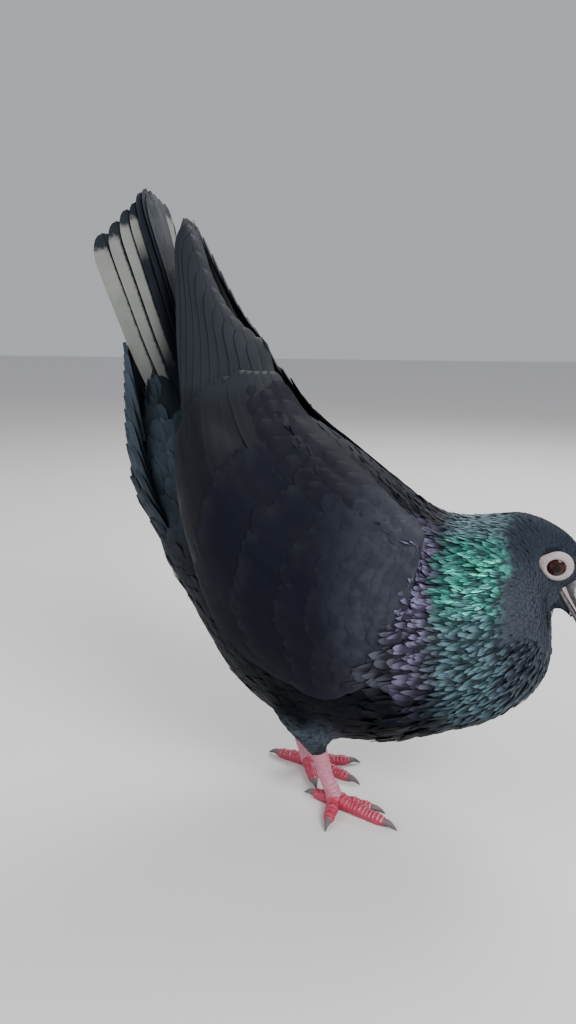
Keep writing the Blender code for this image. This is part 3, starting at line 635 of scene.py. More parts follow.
skin, under = makeSkin()
liePoints, lieFaces, lieTree = surfaceOf(under)
bpy.data.meshes.remove(under)
print("Stage 2: skin of", len(skin.data.polygons), "faces")


# The lie of the coat: away from the bill, and the more towards the tail the further back

lie = {
    "bill": np.array((124, 0, 112)), "tip": np.array((6, 0, -16)), "tail": np.array((-42, 0, 290)),
    "turnFrom": 45, "turnOver": 90,     # distances from the bill where feathers turn to the tail
    "furrows": 46, "furrowDown": (0.33, 0, -0.94),
}


def lieAt(points, normals):
    away = points - lie["bill"]
    distance = lengthOf(away)
    away -= lie["tip"] * np.clip(1.6 - distance / 20, 0, 1)
    share = np.clip((distance - lie["turnFrom"]) / lie["turnOver"], 0, 1)
    way = unit(away) * (1 - 0.5 * share) + unit(lie["tail"] - points) * (0.05 + 0.9 * share)
    way -= normals * np.sum(way * normals, axis=1, keepdims=True)
    return unit(way)


def onSkin(points):
    places, normals = np.empty_like(points), np.empty_like(points)
    for i, p in enumerate(points):
        place, normal, _, _ = lieTree.find_nearest(Vector(p))
        places[i], normals[i] = place, normal
    return places, normals


def furrowAt(points):
    # The neck's feathers lie in ridges that run with them: 1 on a ridge and -1 in a furrow.
    away = points - lie["bill"]
    turn = np.arctan2(away[:, 1], away @ np.array(lie["furrowDown"]))
    reach = lengthOf(away)[:, 0]
    bend = 1.7 * np.sin(reach / 7 + 4 * turn) + 1.1 * np.sin(reach / 3.1 + 9 * turn)
    wave = np.sin(lie["furrows"] * turn + bend)
    side = np.clip((np.abs(turn) - 0.1) / 0.3, 0.5, 1) * np.clip((2.75 - np.abs(turn)) / 0.5, 0, 1)
    return wave * side * np.interp(reach, (26, 40, 78, 100), (0, 1, 1, 0))


def unwrapOf(points):
    # The skin's own unwrap: how far along the bird, and how far round its middle line.
    axis = np.array(((125, 112), (108, 124), (84, 100), (40, 100), (-16, 148), (-40, 225)), float)
    best = np.full(len(points), 1e9)
    along, turn = np.zeros(len(points)), np.zeros(len(points))
    flat = points[:, (0, 2)]
    for k in range(len(axis) - 1):
        span = axis[k + 1] - axis[k]
        t = np.clip((flat - axis[k]) @ span / (span @ span), 0, 1)
        off = flat - (axis[k] + t[:, None] * span)
        distance = lengthOf(off)[:, 0]
        closer = distance < best
        high = off @ (np.array((-span[1], span[0])) / np.linalg.norm(span))
        angle = np.arctan2(points[:, 1], -high) / (2 * math.pi) + 0.5
        best[closer] = distance[closer]
        along[closer] = (k + t[closer]) / (len(axis) - 1)
        turn[closer] = angle[closer]
    return np.stack((0.01 + 0.98 * turn, 0.01 + 0.98 * along), axis=1)


def scatterRoots(amount, spacingOf):
    # Even but irregular roots: spots are drawn over the skin, and each one kept clears those near it.
    triangles = np.array([(f[0], f[i], f[i + 1]) for f in lieFaces for i in range(1, len(f) - 1)])
    a, b, c = (liePoints[triangles[:, i]] for i in range(3))
    weight = lengthOf(np.cross(b - a, c - a))[:, 0]
    spacing = spacingOf((a + b + c) / 3)
    weight = np.where(spacing > 0, weight / np.maximum(spacing, 0.6) ** 2, 0)
    picks = rng.choice(len(triangles), amount, p=weight / weight.sum())
    r, s = rng.random((2, amount, 1))
    r, s = np.where(r + s > 1, 1 - r, r), np.where(r + s > 1, 1 - s, s)
    points = a[picks] + r * (b[picks] - a[picks]) + s * (c[picks] - a[picks])
    spacing = spacingOf(points)
    points, spacing = points[spacing > 0], spacing[spacing > 0]
    tree = treeOf(points)
    blocked = np.zeros(len(points), bool)
    kept = []
    for i in range(len(points)):
        if not blocked[i]:
            kept.append(i)
            for _, j, _ in tree.find_range(points[i], spacing[i]):
                blocked[j] = True
    return points[kept]


def growCoat(name, roots, lengths, widths, style, finish):
    # Each feather is a thin vane that walks over the skin from its root, and rises to its tip.
    steps = np.array(style["steps"])
    shares = np.array(style["shares"])
    count, rows = len(roots), len(steps)
    lengths = lengths * rng.normal(1, style["uneven"], count).clip(0.7, 1.35)
    widths = widths * rng.normal(1, 0.1, count).clip(0.75, 1.3)
    rises = style["rise"] * lengths * rng.normal(1, 0.18, count).clip(0.5, 1.6)
    place, normal = onSkin(roots)
    swing = rng.normal(0, style["swing"], count)[:, None]
    roll = rng.normal(0, style["roll"], count)[:, None]
    furrow = furrowAt(roots)
    points = np.empty((count, rows, 3, 3))
    for k in range(rows):
        way = lieAt(place, normal)
        across = np.cross(normal, way)
        way = unit(way + across * swing)
        across = np.cross(normal, way)
        if k:
            place, normal = onSkin(place + way * (lengths * (steps[k] - steps[k - 1]))[:, None])
            across = unit(across - normal * np.sum(across * normal, axis=1, keepdims=True))
        high = (-style["sunk"] + (rises + style["sunk"]) * steps[k] + style["furrow"] * furrow)[:, None]
        half = (across + normal * roll * min(2 * steps[k], 1)) * (widths * shares[k] / 2)[:, None]
        middle = place + normal * high
        points[:, k, 0] = middle - half
        points[:, k, 1] = middle + normal * (widths * shares[k] * style["ridge"])[:, None]
        points[:, k, 2] = middle + half
    # One closed three-sided strip for each feather.
    one = []
    for k in range(rows - 1):
        a, b = 3 * k, 3 * k + 3
        one += [(a, a + 1, b + 1, b), (a + 1, a + 2, b + 2, b + 1), (a + 2, a, b, b + 2)]
    ends = [(2, 1, 0), (3 * rows - 3, 3 * rows - 2, 3 * rows - 1)]
    first = 3 * rows * np.arange(count)[:, None, None]
    quads, tris = (np.array(one)[None] + first).reshape(-1, 4), (np.array(ends)[None] + first).reshape(-1, 3)
    mesh = bpy.data.meshes.new(name)
    placed = points.reshape(-1, 3) * mm + (standX, 0, 0)
    mesh.from_pydata(placed, [], quads.tolist() + tris.tolist())
    loops = np.empty(len(mesh.loops), np.int32)
    mesh.loops.foreach_get("vertex_index", loops)
    local = np.empty((count, rows, 3, 2))
    local[..., 0] = (0, 0.5, 1)
    local[..., 1] = steps[None, :, None]
    local = local.reshape(-1, 2)
    mesh.uv_layers.new(name="vane").data.foreach_set("uv", local[loops].ravel())
    bake = np.repeat(unwrapOf(roots), rows * 3, axis=0) + (local - 0.5) * 0.003
    mesh.uv_layers.new(name="OFBake").data.foreach_set("uv", bake[loops].ravel())
    shade = mesh.attributes.new("shade", "FLOAT", "POINT")
    # Each feather's tone differs at random, and is darker in the furrows: painted shade.
    light = np.clip(rng.random(count) * (1 - style["depth"]) + style["depth"] * (0.5 + 0.5 * furrow), 0, 1)
    shade.data.foreach_set("value", np.repeat(light, rows * 3))
    return showMesh(mesh, name, finish)


# Places on the wing's face, and a little past its edges, under which no coat grows
wingGrid = [(a, b) for a in np.linspace(0.015, 0.68, 52) for b in np.linspace(0.06, 0.92, 28)]
wingGrid += [(a, b) for a in np.linspace(0.10, 0.64, 40) for b in (-0.08, -0.04, 0, 0.03)]
wingGrid += [(a, b) for a in np.linspace(0.40, 0.72, 30) for b in (0.95, 0.98)]
wingSpots = np.array([wingPlace(a, b) for a, b in wingGrid])
wingNormals = np.array([wingOut(a, b) for a, b in wingGrid])
wingTree = treeOf(wingSpots)


def underWing(points):
    # Places on the skin that a wing covers: behind its face, and not off its edge.
    near = np.stack((points[:, 0], -np.abs(points[:, 1]), points[:, 2]), axis=1)
    nearest = np.array([wingTree.find(p)[1] for p in near])
    offset = near - wingSpots[nearest]
    height = np.sum(offset * wingNormals[nearest], axis=1, keepdims=True)
    aside = lengthOf(offset - height * wingNormals[nearest])
    deep, clear = coat["underWing"]
    return ((height > -deep) & (height < clear) & (aside < clear))[:, 0]


coat = {
    # Distance from the bill's root, then the feathers' length, width and spacing there.
    "sizes": ((0, 2.0, 1.2, 0.70), (12, 3.0, 1.6, 0.85), (26, 4.4, 1.8, 1.0), (36, 6.5, 1.6, 1.05),
              (46, 7.8, 1.75, 1.2), (68, 7.8, 2.0, 1.4), (88, 13, 5.0, 2.4), (120, 17, 8.0, 3.1),
              (250, 18, 8.5, 3.3)),
    "spots": 190000,
    # Where no coat grows: round the eye, ahead of and over the bill's root and the chin, along the tail
    # between two heights, and from deep under the wing's face to clear of it.
    "eyeClear": 5.6, "eyeOut": 12.5, "billClear": (12.8, -4.6), "chinClear": (16.5, -12),
    "tailClear": (6, -21, 12), "underWing": (16, 3),
    # The face is near the bill's root or beyond an x and a z, and the neck is beyond an x.
    "faceReach": 27, "faceFrom": (101, 96), "neckFrom": 56,
    "ankles": ((20, -18.5, 27), (-4, 18.5, 27)),
    # The feathers' outline in steps of length and shares of width, then how much they vary, stand up,
    # lie deep at the root, turn, bulge, tilt, follow the furrows and darken in them with painted shade.
    "face": {"steps": (0, 0.4, 0.8, 1), "shares": (0.5, 1, 0.8, 0.3), "uneven": 0.1, "rise": 0.05,
             "sunk": 0.45, "swing": 0.07, "ridge": 0.05, "roll": 0.03, "furrow": 0, "depth": 0},
    "neck": {"steps": (0, 0.3, 0.6, 0.86, 1), "shares": (0.4, 0.95, 1, 0.66, 0.12), "uneven": 0.22,
             "rise": 0.10, "sunk": 0.5, "swing": 0.2, "ridge": 0.06, "roll": 0.25, "furrow": 0.8,
             "depth": 0.6},
    "body": {"steps": (0, 0.3, 0.6, 0.86, 1), "shares": (0.35, 0.85, 1, 0.80, 0.32), "uneven": 0.12,
             "rise": 0.065, "sunk": 0.45, "swing": 0.09, "ridge": 0.05, "roll": 0.05, "furrow": 0.3,
             "depth": 0.2},
}


def coatSizes(points):
    distance = lengthOf(points - lie["bill"])[:, 0]
    table = np.array(coat["sizes"])
    sizes = [np.interp(distance, table[:, 0], table[:, k]) for k in (1, 2, 3)]
    # Small feathers down the thighs.
    for ankle in coat["ankles"]:
        near = np.interp(lengthOf(points - np.array(ankle))[:, 0], (6, 24, 46), (0.33, 0.55, 1))
        sizes = [size * near for size in sizes]
    return sizes


def coatSpacing(points):
    spacing = coatSizes(points)[2]
    spacing[underWing(points)] = 0
    # The tail has its own coverts.
    root = tailPlace(0, 0, 0)
    along, above = ((points - root) @ (tailPlace(*step) - root) for step in ((1, 0, 0), (0, 0, 1)))
    start, low, high = coat["tailClear"]
    spacing[(along > start) & (above > low) & (above < high)] = 0
    for side in (-1, 1):
        eye = np.array(headPlace(0, 0, side * coat["eyeOut"]))
        spacing[lengthOf(points - eye)[:, 0] < coat["eyeClear"]] = 0
    root = headPlace(0, 0)
    ahead, up = ((points - np.array(root)) @ np.array(headPlace(*step) - root) for step in ((1, 0), (0, 1)))
    for start, low in (coat["billClear"], coat["chinClear"]):
        spacing[(ahead > start) & (up > low)] = 0
    return spacing


plumage = featherFinish("body feathers", barbCount=26, roughness=0.6, sheen=0.02, contrast=0.25,
                        tipShading=(0.2, 1.0, 0.7, 1.25))
hackles = featherFinish("neck feathers", barbCount=16, roughness=0.5, sheen=0.02, contrast=0.5,
                        tipShading=(0.4, 0.95, 0.3, 1.5), streaks=0.7, metal=0.7, bump=0.00002)
faceFeathers = featherFinish("head feathers", barbCount=8, roughness=0.65, sheen=0.03, contrast=0.08,
                             tipShading=(0.2, 1.0, 0.9, 1.08), bump=0.00002)


def makeCoat():
    roots = scatterRoots(coat["spots"], coatSpacing)
    ahead, high = coat["faceFrom"]
    face = lengthOf(roots - lie["bill"])[:, 0] < coat["faceReach"]
    face |= (roots[:, 0] > ahead) & (roots[:, 2] > high)
    neck = ~face & (roots[:, 0] > coat["neckFrom"])
    right = roots[:, 1] < 0
    for name, chosen, style, finish, slotName in (
            ("coat_head_right", face & right, "face", faceFeathers, "head_feather"),
            ("coat_head_left", face & ~right, "face", faceFeathers, "head_feather"),
            ("coat_neck_right", neck & right, "neck", hackles, "neck_feather"),
            ("coat_neck_left", neck & ~right, "neck", hackles, "neck_feather"),
            ("coat_body", ~face & ~neck, "body", plumage, "body_feather")):
        lengths, widths, _ = coatSizes(roots[chosen])
        growCoat(name, roots[chosen], lengths, widths, coat[style], finish)
        print(name, int(chosen.sum()), "feathers")


makeCoat()
print("Stage 3: coat grown")


# Vanes of the wings and the tail, each on its own grid

def addVane(bm, place, rows, columns, bakeSpot, bakeSize, shade):
    # place takes v from root to tip and u from -1 to 1 across, and gives a point.
    maps = [bm.loops.layers.uv.get(name) or bm.loops.layers.uv.new(name) for name in ("vane", "OFBake")]
    tint = bm.verts.layers.float.get("shade") or bm.verts.layers.float.new("shade")
    made = bmesh.ops.create_grid(bm, x_segments=columns, y_segments=rows, size=0.5)["verts"]
    flat = {v: (v.co.x + 0.5, 1 - (0.5 - v.co.y) ** 1.5) for v in made}
    for face in linkedTo(made, "link_faces"):
        for loop in face.loops:
            u, v = flat[loop.vert]
            loop[maps[0]].uv = (u, v)
            loop[maps[1]].uv = (bakeSpot[0] + u * bakeSize[0], bakeSpot[1] + v * bakeSize[1])
    for vert, (u, v) in flat.items():
        vert.co = Vector(place(v, 2 * u - 1))
        vert[tint] = shade


def vaneShare(v, tip, root=0.35):
    # A vane's width along it: narrow at its root, widest past the middle, and rounded at its tip.
    grown = root + (1 - root) * math.sin(math.pi / 2 * min(v / 0.55, 1))
    left = max(1 - v, 0)
    return grown * (1 - (1 - min(left / tip, 1)) ** 2.2) ** 0.5


def wingVane(bm, start, end, width, lift, tilt, tip, rows, columns, bakeSpot, bakeSize=(0.003, 0.003)):
    # A feather that lies on the wing's face. Width is in millimetres, and lift is at root and tip.
    jag = rng.normal(0, 0.08)
    shade = float(rng.random())

    def place(v, u):
        a = start[0] + (end[0] - start[0]) * v
        b = start[1] + (end[1] - start[1]) * v
        span = np.linalg.norm(wingPlace(a, b + 0.02) - wingPlace(a, b - 0.02)) / 0.04
        half = width / 2 * vaneShare(v, tip, wingFeathers["rootWidth"])
        high = lift[0] + (lift[1] - lift[0]) * v ** 0.8
        edge = -tilt * u * min(v * 4, 1) - 0.3 * u * u + jag * v
        return wingPlace(a, b + u * half / span) + wingOut(min(max(a, 0.005), 0.995), b) * (high + edge)

    addVane(bm, place, rows, columns, bakeSpot, bakeSize, shade)


wingFeathers = {
    # Widths are in millimetres, places from 0 to 1 along or across the wing.
    "rootWidth": 0.4,     # of a feather's width, at its root
    "primaryWidth": 15, "primaryPitch": 0.55, "primaryDepth": 0.9,
    "primaryTips": (1.0, 0.99, 0.975, 0.95, 0.925, 0.895, 0.865, 0.835, 0.805, 0.77),
    "secondaries": 11, "secondaryWidth": 16,
    "tertials": 5,
    # Root and tip along the wing, how many, width, lowest and highest place, lift at root and tip.
    "greater": (0.26, 0.47, 17, 13, 0.03, 0.95, -1.0, 0.15),
    "median": (0.17, 0.35, 19, 11, 0.03, 0.96, -0.9, 0.2),
    "lesser": (
        (0.125, 0.265, 21, 9.5, 0.04, 0.97, -0.8, 0.2), (0.085, 0.205, 22, 8.5, 0.04, 0.97, -0.8, 0.2),
        (0.05, 0.155, 23, 8, 0.05, 0.97, -0.7, 0.2), (0.02, 0.11, 24, 7, 0.05, 0.97, -0.7, 0.2),
        (-0.005, 0.075, 24, 6.5, 0.05, 0.97, -0.7, 0.2), (-0.025, 0.045, 24, 6, 0.05, 0.97, -0.7, 0.2),
        (-0.04, 0.018, 24, 6, 0.05, 0.97, -0.8, 0.1)),
    # Rows over the shoulder: place across the wing, and lift at the tips.
    "scapulars": ((0.90, 0.6), (0.98, 1.0), (1.06, 1.4)), "scapularCount": 15,
    "thick": 0.14, "bedDepth": 1.7,
}


def makeTier(bm, tier, index):
    # One row of coverts, bowed a little towards the tip in the middle of the wing.
    root, tip, count, width, low, high, sunk, proud = tier
    shift = 0.5 * (index % 2) / count
    for i in range(count):
        t = i / (count - 1) + rng.normal(0, 0.008) + shift
        b = low + (high - low) * min(t, 1.03)
        bow = 0.03 * math.sin(math.pi * min(t, 1))
        far = tip + bow + rng.normal(0, 0.006)
        near = max(root + bow, 0)
        blunt = min(0.62 * width / ((far - near) * wing["length"]), 0.6)
        wingVane(bm, (near, b), (far, b + 0.01), width, (sunk, proud), 0.1, blunt, 8, 4,
                 (0.02 + 0.9 * b, 0.05 + 0.1 * index))


def makeWing():
    # The longest quill of the hand lies lowest and deepest, and each later one lies over it.
    feathers = bmesh.new()
    count = len(wingFeathers["primaryTips"])
    for i, tip in enumerate(wingFeathers["primaryTips"]):
        deep = -wingFeathers["primaryDepth"] - wingFeathers["primaryPitch"] * (count - 1 - i)
        t = i / (count - 1)
        wingVane(feathers, (0.44, 0.10 + 0.86 * t), (tip, 0.40 + 0.66 * t ** 0.8),
                 wingFeathers["primaryWidth"], (deep, deep), 0, 0.12, 26, 6,
                 (0.05 + 0.09 * i, 0.02), (0.08, 0.44))
    count = wingFeathers["secondaries"]
    for i in range(count):
        t = i / (count - 1)
        tip = 0.62 + 0.075 * math.sin(math.pi * min(t * 0.8, 1))
        wingVane(feathers, (0.32, 0.05 + 0.80 * t), (tip, 0.09 + 0.84 * t), wingFeathers["secondaryWidth"],
                 (-1.6, 0.0), 0.3, 0.13, 16, 5, (0.02 + 0.086 * i, 0.5), (0.08, 0.2))
    for i in range(wingFeathers["tertials"]):
        t = i / (wingFeathers["tertials"] - 1)
        wingVane(feathers, (0.30 - 0.05 * t, 0.84 + 0.08 * t), (0.69 - 0.05 * t, 0.82 + 0.22 * t),
                 18 - 1.5 * t, (-0.6, 0.3 + 0.4 * t), 0.2, 0.15, 16, 5, (0.02 + 0.1 * i, 0.72), (0.09, 0.2))
    bmesh.ops.solidify(feathers, geom=feathers.faces, thickness=-wingFeathers["thick"])
    finishPair(feathers, "wing_quills", flightFinish(), "wing")
    coverts = bmesh.new()
    for index, tier in enumerate((wingFeathers["greater"], wingFeathers["median"], *wingFeathers["lesser"])):
        makeTier(coverts, tier, index)
    # The shoulder's feathers start on the back and lie over the wing's upper edge, row over row.
    for row, (b, lift) in enumerate(wingFeathers["scapulars"]):
        for i in range(wingFeathers["scapularCount"]):
            t = i / (wingFeathers["scapularCount"] - 1)
            start = 0.34 * t - 0.02 * row + rng.normal(0, 0.01)
            wingVane(coverts, (start, b + 0.03), (start + 0.15 + 0.13 * t, b - 0.03), 12 + 4 * t,
                     (-1.2, lift), -0.25, 0.2, 9, 4, (0.02 + 0.06 * i, 0.9 + 0.03 * row))
    bmesh.ops.solidify(coverts, geom=coverts.faces, thickness=-wingFeathers["thick"])
    finishPair(coverts, "wing_coverts", covertFinish())
    bed = bmesh.new()
    wingSlab(bed, wingFeathers["bedDepth"])
    finishPair(bed, "wing_flesh", skinFinish(), None, 180)


quillTones = {
    # Darker and lighter feathers, the edge with a painted highlight, the barbs, the shaft, and a painted
    # sheen on the quills over a height.
    "flight": {"dark": (0.0042, 0.0050, 0.0082), "light": (0.0062, 0.0072, 0.0110),
               "rimHighlight": (0.014, 0.017, 0.023), "barb": (0.002, 0.0025, 0.004), "shaft": (0.002, 0.002, 0.003),
               "far": (0.0112, 0.0146, 0.0200), "sheenFrom": (189, 198)},
    # Darker and lighter feathers, the tip and the edge, which carries a painted highlight, the barbs, and
    # the painted highlight ahead of a place.
    "covert": {"dark": (0.0036, 0.0043, 0.0088), "light": (0.0047, 0.0056, 0.0108),
               "rimHighlight": (0.0165, 0.0180, 0.0235), "barb": (0.002, 0.0025, 0.004),
               "frontHighlight": (0.0350, 0.0375, 0.0510), "frontHighlightFrom": (34, 70)},
    "tail": {"dark": (0.0078, 0.0108, 0.0160), "light": (0.0115, 0.0152, 0.0212),
             "worn": (0.014, 0.018, 0.024), "barb": (0.006, 0.007, 0.009), "shaft": (0.003, 0.003, 0.004),
             "pale": (0.25, 0.255, 0.235), "paleWorn": (0.13, 0.138, 0.128),
             "paleRoot": (0.085, 0.095, 0.092)},
}


def quillRelief(tree, vane):
    return plus(tree, times(tree, vane["Barb"], 0.4), vane["Shaft"])


def flightFinish():
    finish, tree = newFinish("flight feathers", {**quillSheen, "Specular IOR Level": 0.1})
    tones = quillTones["flight"]
    vane = useGroup(tree, barbs, Count=120, Shaft=0.03)
    coords = birdCoords(tree)
    # This noise sets the roughness and wavers where the painted sheen starts.
    worn = noise(tree, coords, 0.06, 3)
    height = plus(tree, parts(tree, coords)[2], times(tree, worn, 6))
    # Quills higher up get a painted sheen, and one edge of each feather a painted highlight.
    colour = overlaid(
        tree, mix(tree, vane["Shade"], tones["dark"], tones["light"]),
        (ramp(tree, height, *tones["sheenFrom"]), tones["far"]),
        (ramp(tree, vane["Across"], 0.0, 0.16, 0.3, 0), tones["rimHighlight"]),
        (times(tree, vane["Barb"], 0.22), tones["barb"]), (vane["Shaft"], tones["shaft"]))
    dress(tree, colour, quillRelief(tree, vane), 0.00010, 0.5, ramp(tree, worn, 0.3, 0.7, 0.45, 0.6))
    return finish


def covertFinish():
    # Matt, with a painted highlight on the front of the wing and along one edge of each feather, and pale
    # tips here and there.
    finish, tree = newFinish("wing coverts", quillSheen)
    tones = quillTones["covert"]
    vane = useGroup(tree, barbs, Count=40, Shaft=0.035)
    coords = birdCoords(tree)
    blotches = noise(tree, coords, 0.045, 4)
    # Lighter towards the wing's front, with a wavering edge: a painted highlight.
    frontHighlight = ramp(tree, plus(tree, parts(tree, coords)[0], times(tree, blotches, 18)), *tones["frontHighlightFrom"])
    mottle = ramp(tree, noise(tree, coords, 0.16, 3), 0.40, 0.62, 0.15, 1)
    tip = times(tree, ramp(tree, vane["Along"], 0.74, 1.0, 0, 0.4), mottle)
    # One edge of each feather is lighter: a painted highlight. The pale tips share its grey.
    rimHighlight = ramp(tree, vane["Across"], 0.0, 0.1, 0.3, 0)
    colour = overlaid(
        tree, mix(tree, vane["Shade"], tones["dark"], tones["light"]),
        (times(tree, frontHighlight, ramp(tree, mottle, 0, 1, 0.6, 1)), tones["frontHighlight"]),
        (calc(tree, "MAXIMUM", tip, rimHighlight), tones["rimHighlight"]), (times(tree, vane["Barb"], 0.15), tones["barb"]))
    dress(tree, colour, vane["Barb"], 0.00005, 0.4, ramp(tree, blotches, 0.3, 0.7, 0.52, 0.68))
    return finish


makeWing()
print("Stage 4: wings")


# The tail's fan

def fanPlace(along, share):
    # A place in the fan's plane: along the tail, and a share of the way to its edge.
    t = along / tail["span"]
    width = tail["rootWidth"] + (tail["tipWidth"] - tail["rootWidth"]) * t
    sag = tail["rootSag"] + (tail["tipSag"][-1 if share < 0 else 1] - tail["rootSag"]) * t
    return tailPlace(along, width * share, -sag * share ** 2)


def fanVane(bm, share, start, end, width, lift, tip, rows, columns, bakeSpot, bakeSize=(0.003, 0.003)):
    # A feather that lies in the fan.
    shade = float(rng.random())

    def place(v, u):
        along = start + (end - start) * v
        middle = fanPlace(along, share)
        way = unit(fanPlace(along + 1, share) - middle)
        side = unit(fanPlace(along, share + 0.02) - fanPlace(along, share - 0.02))
        normal = np.cross(way, side)
        normal = normal if normal[0] > 0 else -normal
        half = width / 2 * vaneShare(v, tip)
        high = lift[0] + (lift[1] - lift[0]) * v
        return middle + side * u * half + normal * (high - tail["camber"] * u * u)

    addVane(bm, place, rows, columns, bakeSpot, bakeSize, shade)


tailMarks = ("paleSide", "paleFrom", "paleEdge")     # each vane's own numbers, which the finish reads


def tailFinish():
    # The outer web of each outer feather is pale, up to a dark tip.
    finish, tree = newFinish("tail feathers", {**quillSheen, "Specular IOR Level": 0.1})
    tones = quillTones["tail"]
    vane = useGroup(tree, barbs, Count=130, Shaft=0.03)
    side, paleFrom, paleEdge = (attribute(tree, label) for label in tailMarks)
    coords = birdCoords(tree)
    ragged = minus(tree, noise(tree, coords, 0.5, 4), 0.5)
    toEdge = times(tree, minus(tree, vane["Across"], 0.5), 2, side)
    # Pale towards the edge, in a stripe that narrows to the root.
    web = plus(tree, minus(tree, toEdge, paleEdge), times(tree, minus(tree, vane["Along"], 0.9), 0.3),
               times(tree, ragged, 0.22))
    along = plus(tree, vane["Along"], times(tree, ragged, 0.05))
    pale = times(tree, ramp(tree, web, -0.05, 0.12), ramp(tree, along, 0.915, 0.95, 1, 0),
                 ramp(tree, minus(tree, along, paleFrom), 0, 0.14))
    worn = noise(tree, coords, 0.12, 4)
    light = mix(tree, worn, tones["paleWorn"], tones["pale"])
    light = mix(tree, ramp(tree, along, 0.3, 0.8, 0.6, 0), light, tones["paleRoot"])
    colour = overlaid(
        tree, mix(tree, vane["Shade"], tones["dark"], tones["light"]),
        (times(tree, worn, 0.35), tones["worn"]), (pale, light),
        (times(tree, vane["Barb"], 0.15), tones["barb"]), (vane["Shaft"], tones["shaft"]))
    dress(tree, colour, quillRelief(tree, vane), 0.00010, 0.6, ramp(tree, worn, 0.3, 0.7, 0.48, 0.62))
    return finish


tailCoverts = {
    # Over the tail: how far the tips reach, how many, lift at the tips.
    "over": ((44, 13, 1.0), (38, 13, 1.3), (32, 12, 1.6), (26, 12, 2.0), (20, 12, 2.4), (14, 11, 2.8),
             (8, 11, 3.2)),
    # Under it: how far along the tips reach, and how far below the tail the feathers lie along it.
    "under": (60, 54, 48, 42, 36, 30, 24, 18, 12, 6, 0, -6, -13, -21),
    "slope": ((-70, 42), (-40, 46), (-22, 48.5), (-12, 51), (0, 51), (12, 49), (24, 45.5), (36, 41.5),
              (48, 36.5), (60, 31)),
    "spread": 19.5, "turn": math.radians(40), "width": 13, "length": 40, "thick": 0.14,
    # Where each feather turns pale, from the middle one outwards: along it, and across it. At 2 it never
    # does.
    "pale": {-1: ((2, 2), (2, 2), (0.74, 0.22), (0.32, 0.28), (0.15, 0.26), (0.02, 0.02)),
             1: ((2, 2), (2, 2), (2, 2), (0.70, -0.3), (0.68, -0.6), (0.64, -0.9))},
}


def makeTail():
    bm = bmesh.new()
    for label in tailMarks:
        bm.verts.layers.float.new(label)
    for side, lengths in tail["lengths"].items():
        for i, length in enumerate(lengths):
            share = ((i + 0.45) / (len(lengths) - 0.55)) ** 1.45 * tail["reach"][side]
            deep = -tail["stack"] * (2 * i + (1 if side < 0 else 0)) / 1.4
            before = len(bm.verts)
            fanVane(bm, side * share, 6, length + rng.normal(0, 0.6), tail["vaneWidth"], (deep, deep), 0.15,
                    26, 6, (0.02 + 0.08 * (2 * i + (side > 0)), 0.02), (0.07, 0.9))
            marks = [bm.verts.layers.float[label] for label in tailMarks]
            bm.verts.ensure_lookup_table()
            for vert in bm.verts[before:]:
                for mark, value in zip(marks, (side, *tailCoverts["pale"][side][i])):
                    vert[mark] = value
    bmesh.ops.solidify(bm, geom=bm.faces, thickness=tail["vaneThick"])
    finishPiece(bm, "tail_quills", tailFinish(), ("tail",))
    bm = bmesh.new()
    for row, (end, count, proud) in enumerate(tailCoverts["over"]):
        for i in range(count):
            t = 2 * i / (count - 1) - 1 + rng.normal(0, 0.015)     # -1 to 1 across the tail
            fanVane(bm, t, -16 + end * 0.1, end - 24 * abs(t) + rng.normal(0, 1.2), tailCoverts["width"],
                    (0.2 + row * 0.45, proud), 0.3, 9, 4, (0.1 + 0.06 * i, 0.5 + 0.07 * row))
    for row, tip in enumerate(tailCoverts["under"]):
        count = 10 + row % 2
        for i in range(count):
            t = 2 * i / (count - 1) - 1 + rng.normal(0, 0.03)
            underVane(bm, t, tip - 6 * t * t + rng.normal(0, 2), (0.1 + 0.06 * i, 0.04 + 0.03 * row))
    bmesh.ops.solidify(bm, geom=bm.faces, thickness=tailCoverts["thick"])
    finishPiece(bm, "tail_coverts", plumage)


def underVane(bm, t, tip, bakeSpot):
    # A loose feather under the tail, which keeps to the slope of the others.
    turn = t * tailCoverts["turn"]
    shade = float(rng.random())
    length = rng.normal(tailCoverts["length"], 3) - 0.12 * tip
    flare = rng.normal(0.2, 0.5)
    slope = np.array(tailCoverts["slope"])

    def middle(v):
        along = tip - length * (1 - v)
        down = np.interp(along, slope[:, 0], slope[:, 1]) - 4.5 * (1 - v) + flare * v * v
        return tailPlace(along, tailCoverts["spread"] * t * (0.92 + 0.16 * v), -down * math.cos(turn))

    def place(v, u):
        centre = middle(v)
        way = unit(middle(min(v + 0.05, 1)) - middle(max(v - 0.05, 0)))
        side = unit(tailPlace(0, math.cos(turn), math.sin(turn)) - tailPlace(0, 0, 0))
        side = unit(side - way * np.dot(side, way))
        normal = np.cross(way, side)
        normal = normal if normal[0] < 0 else -normal
        half = tailCoverts["width"] / 2 * vaneShare(v, 0.3)
        return centre + side * u * half - normal * 1.6 * u * u

    addVane(bm, place, 10, 4, bakeSpot, (0.003, 0.003), shade)


makeTail()
print("Stage 5: tail")


# The head's bare parts

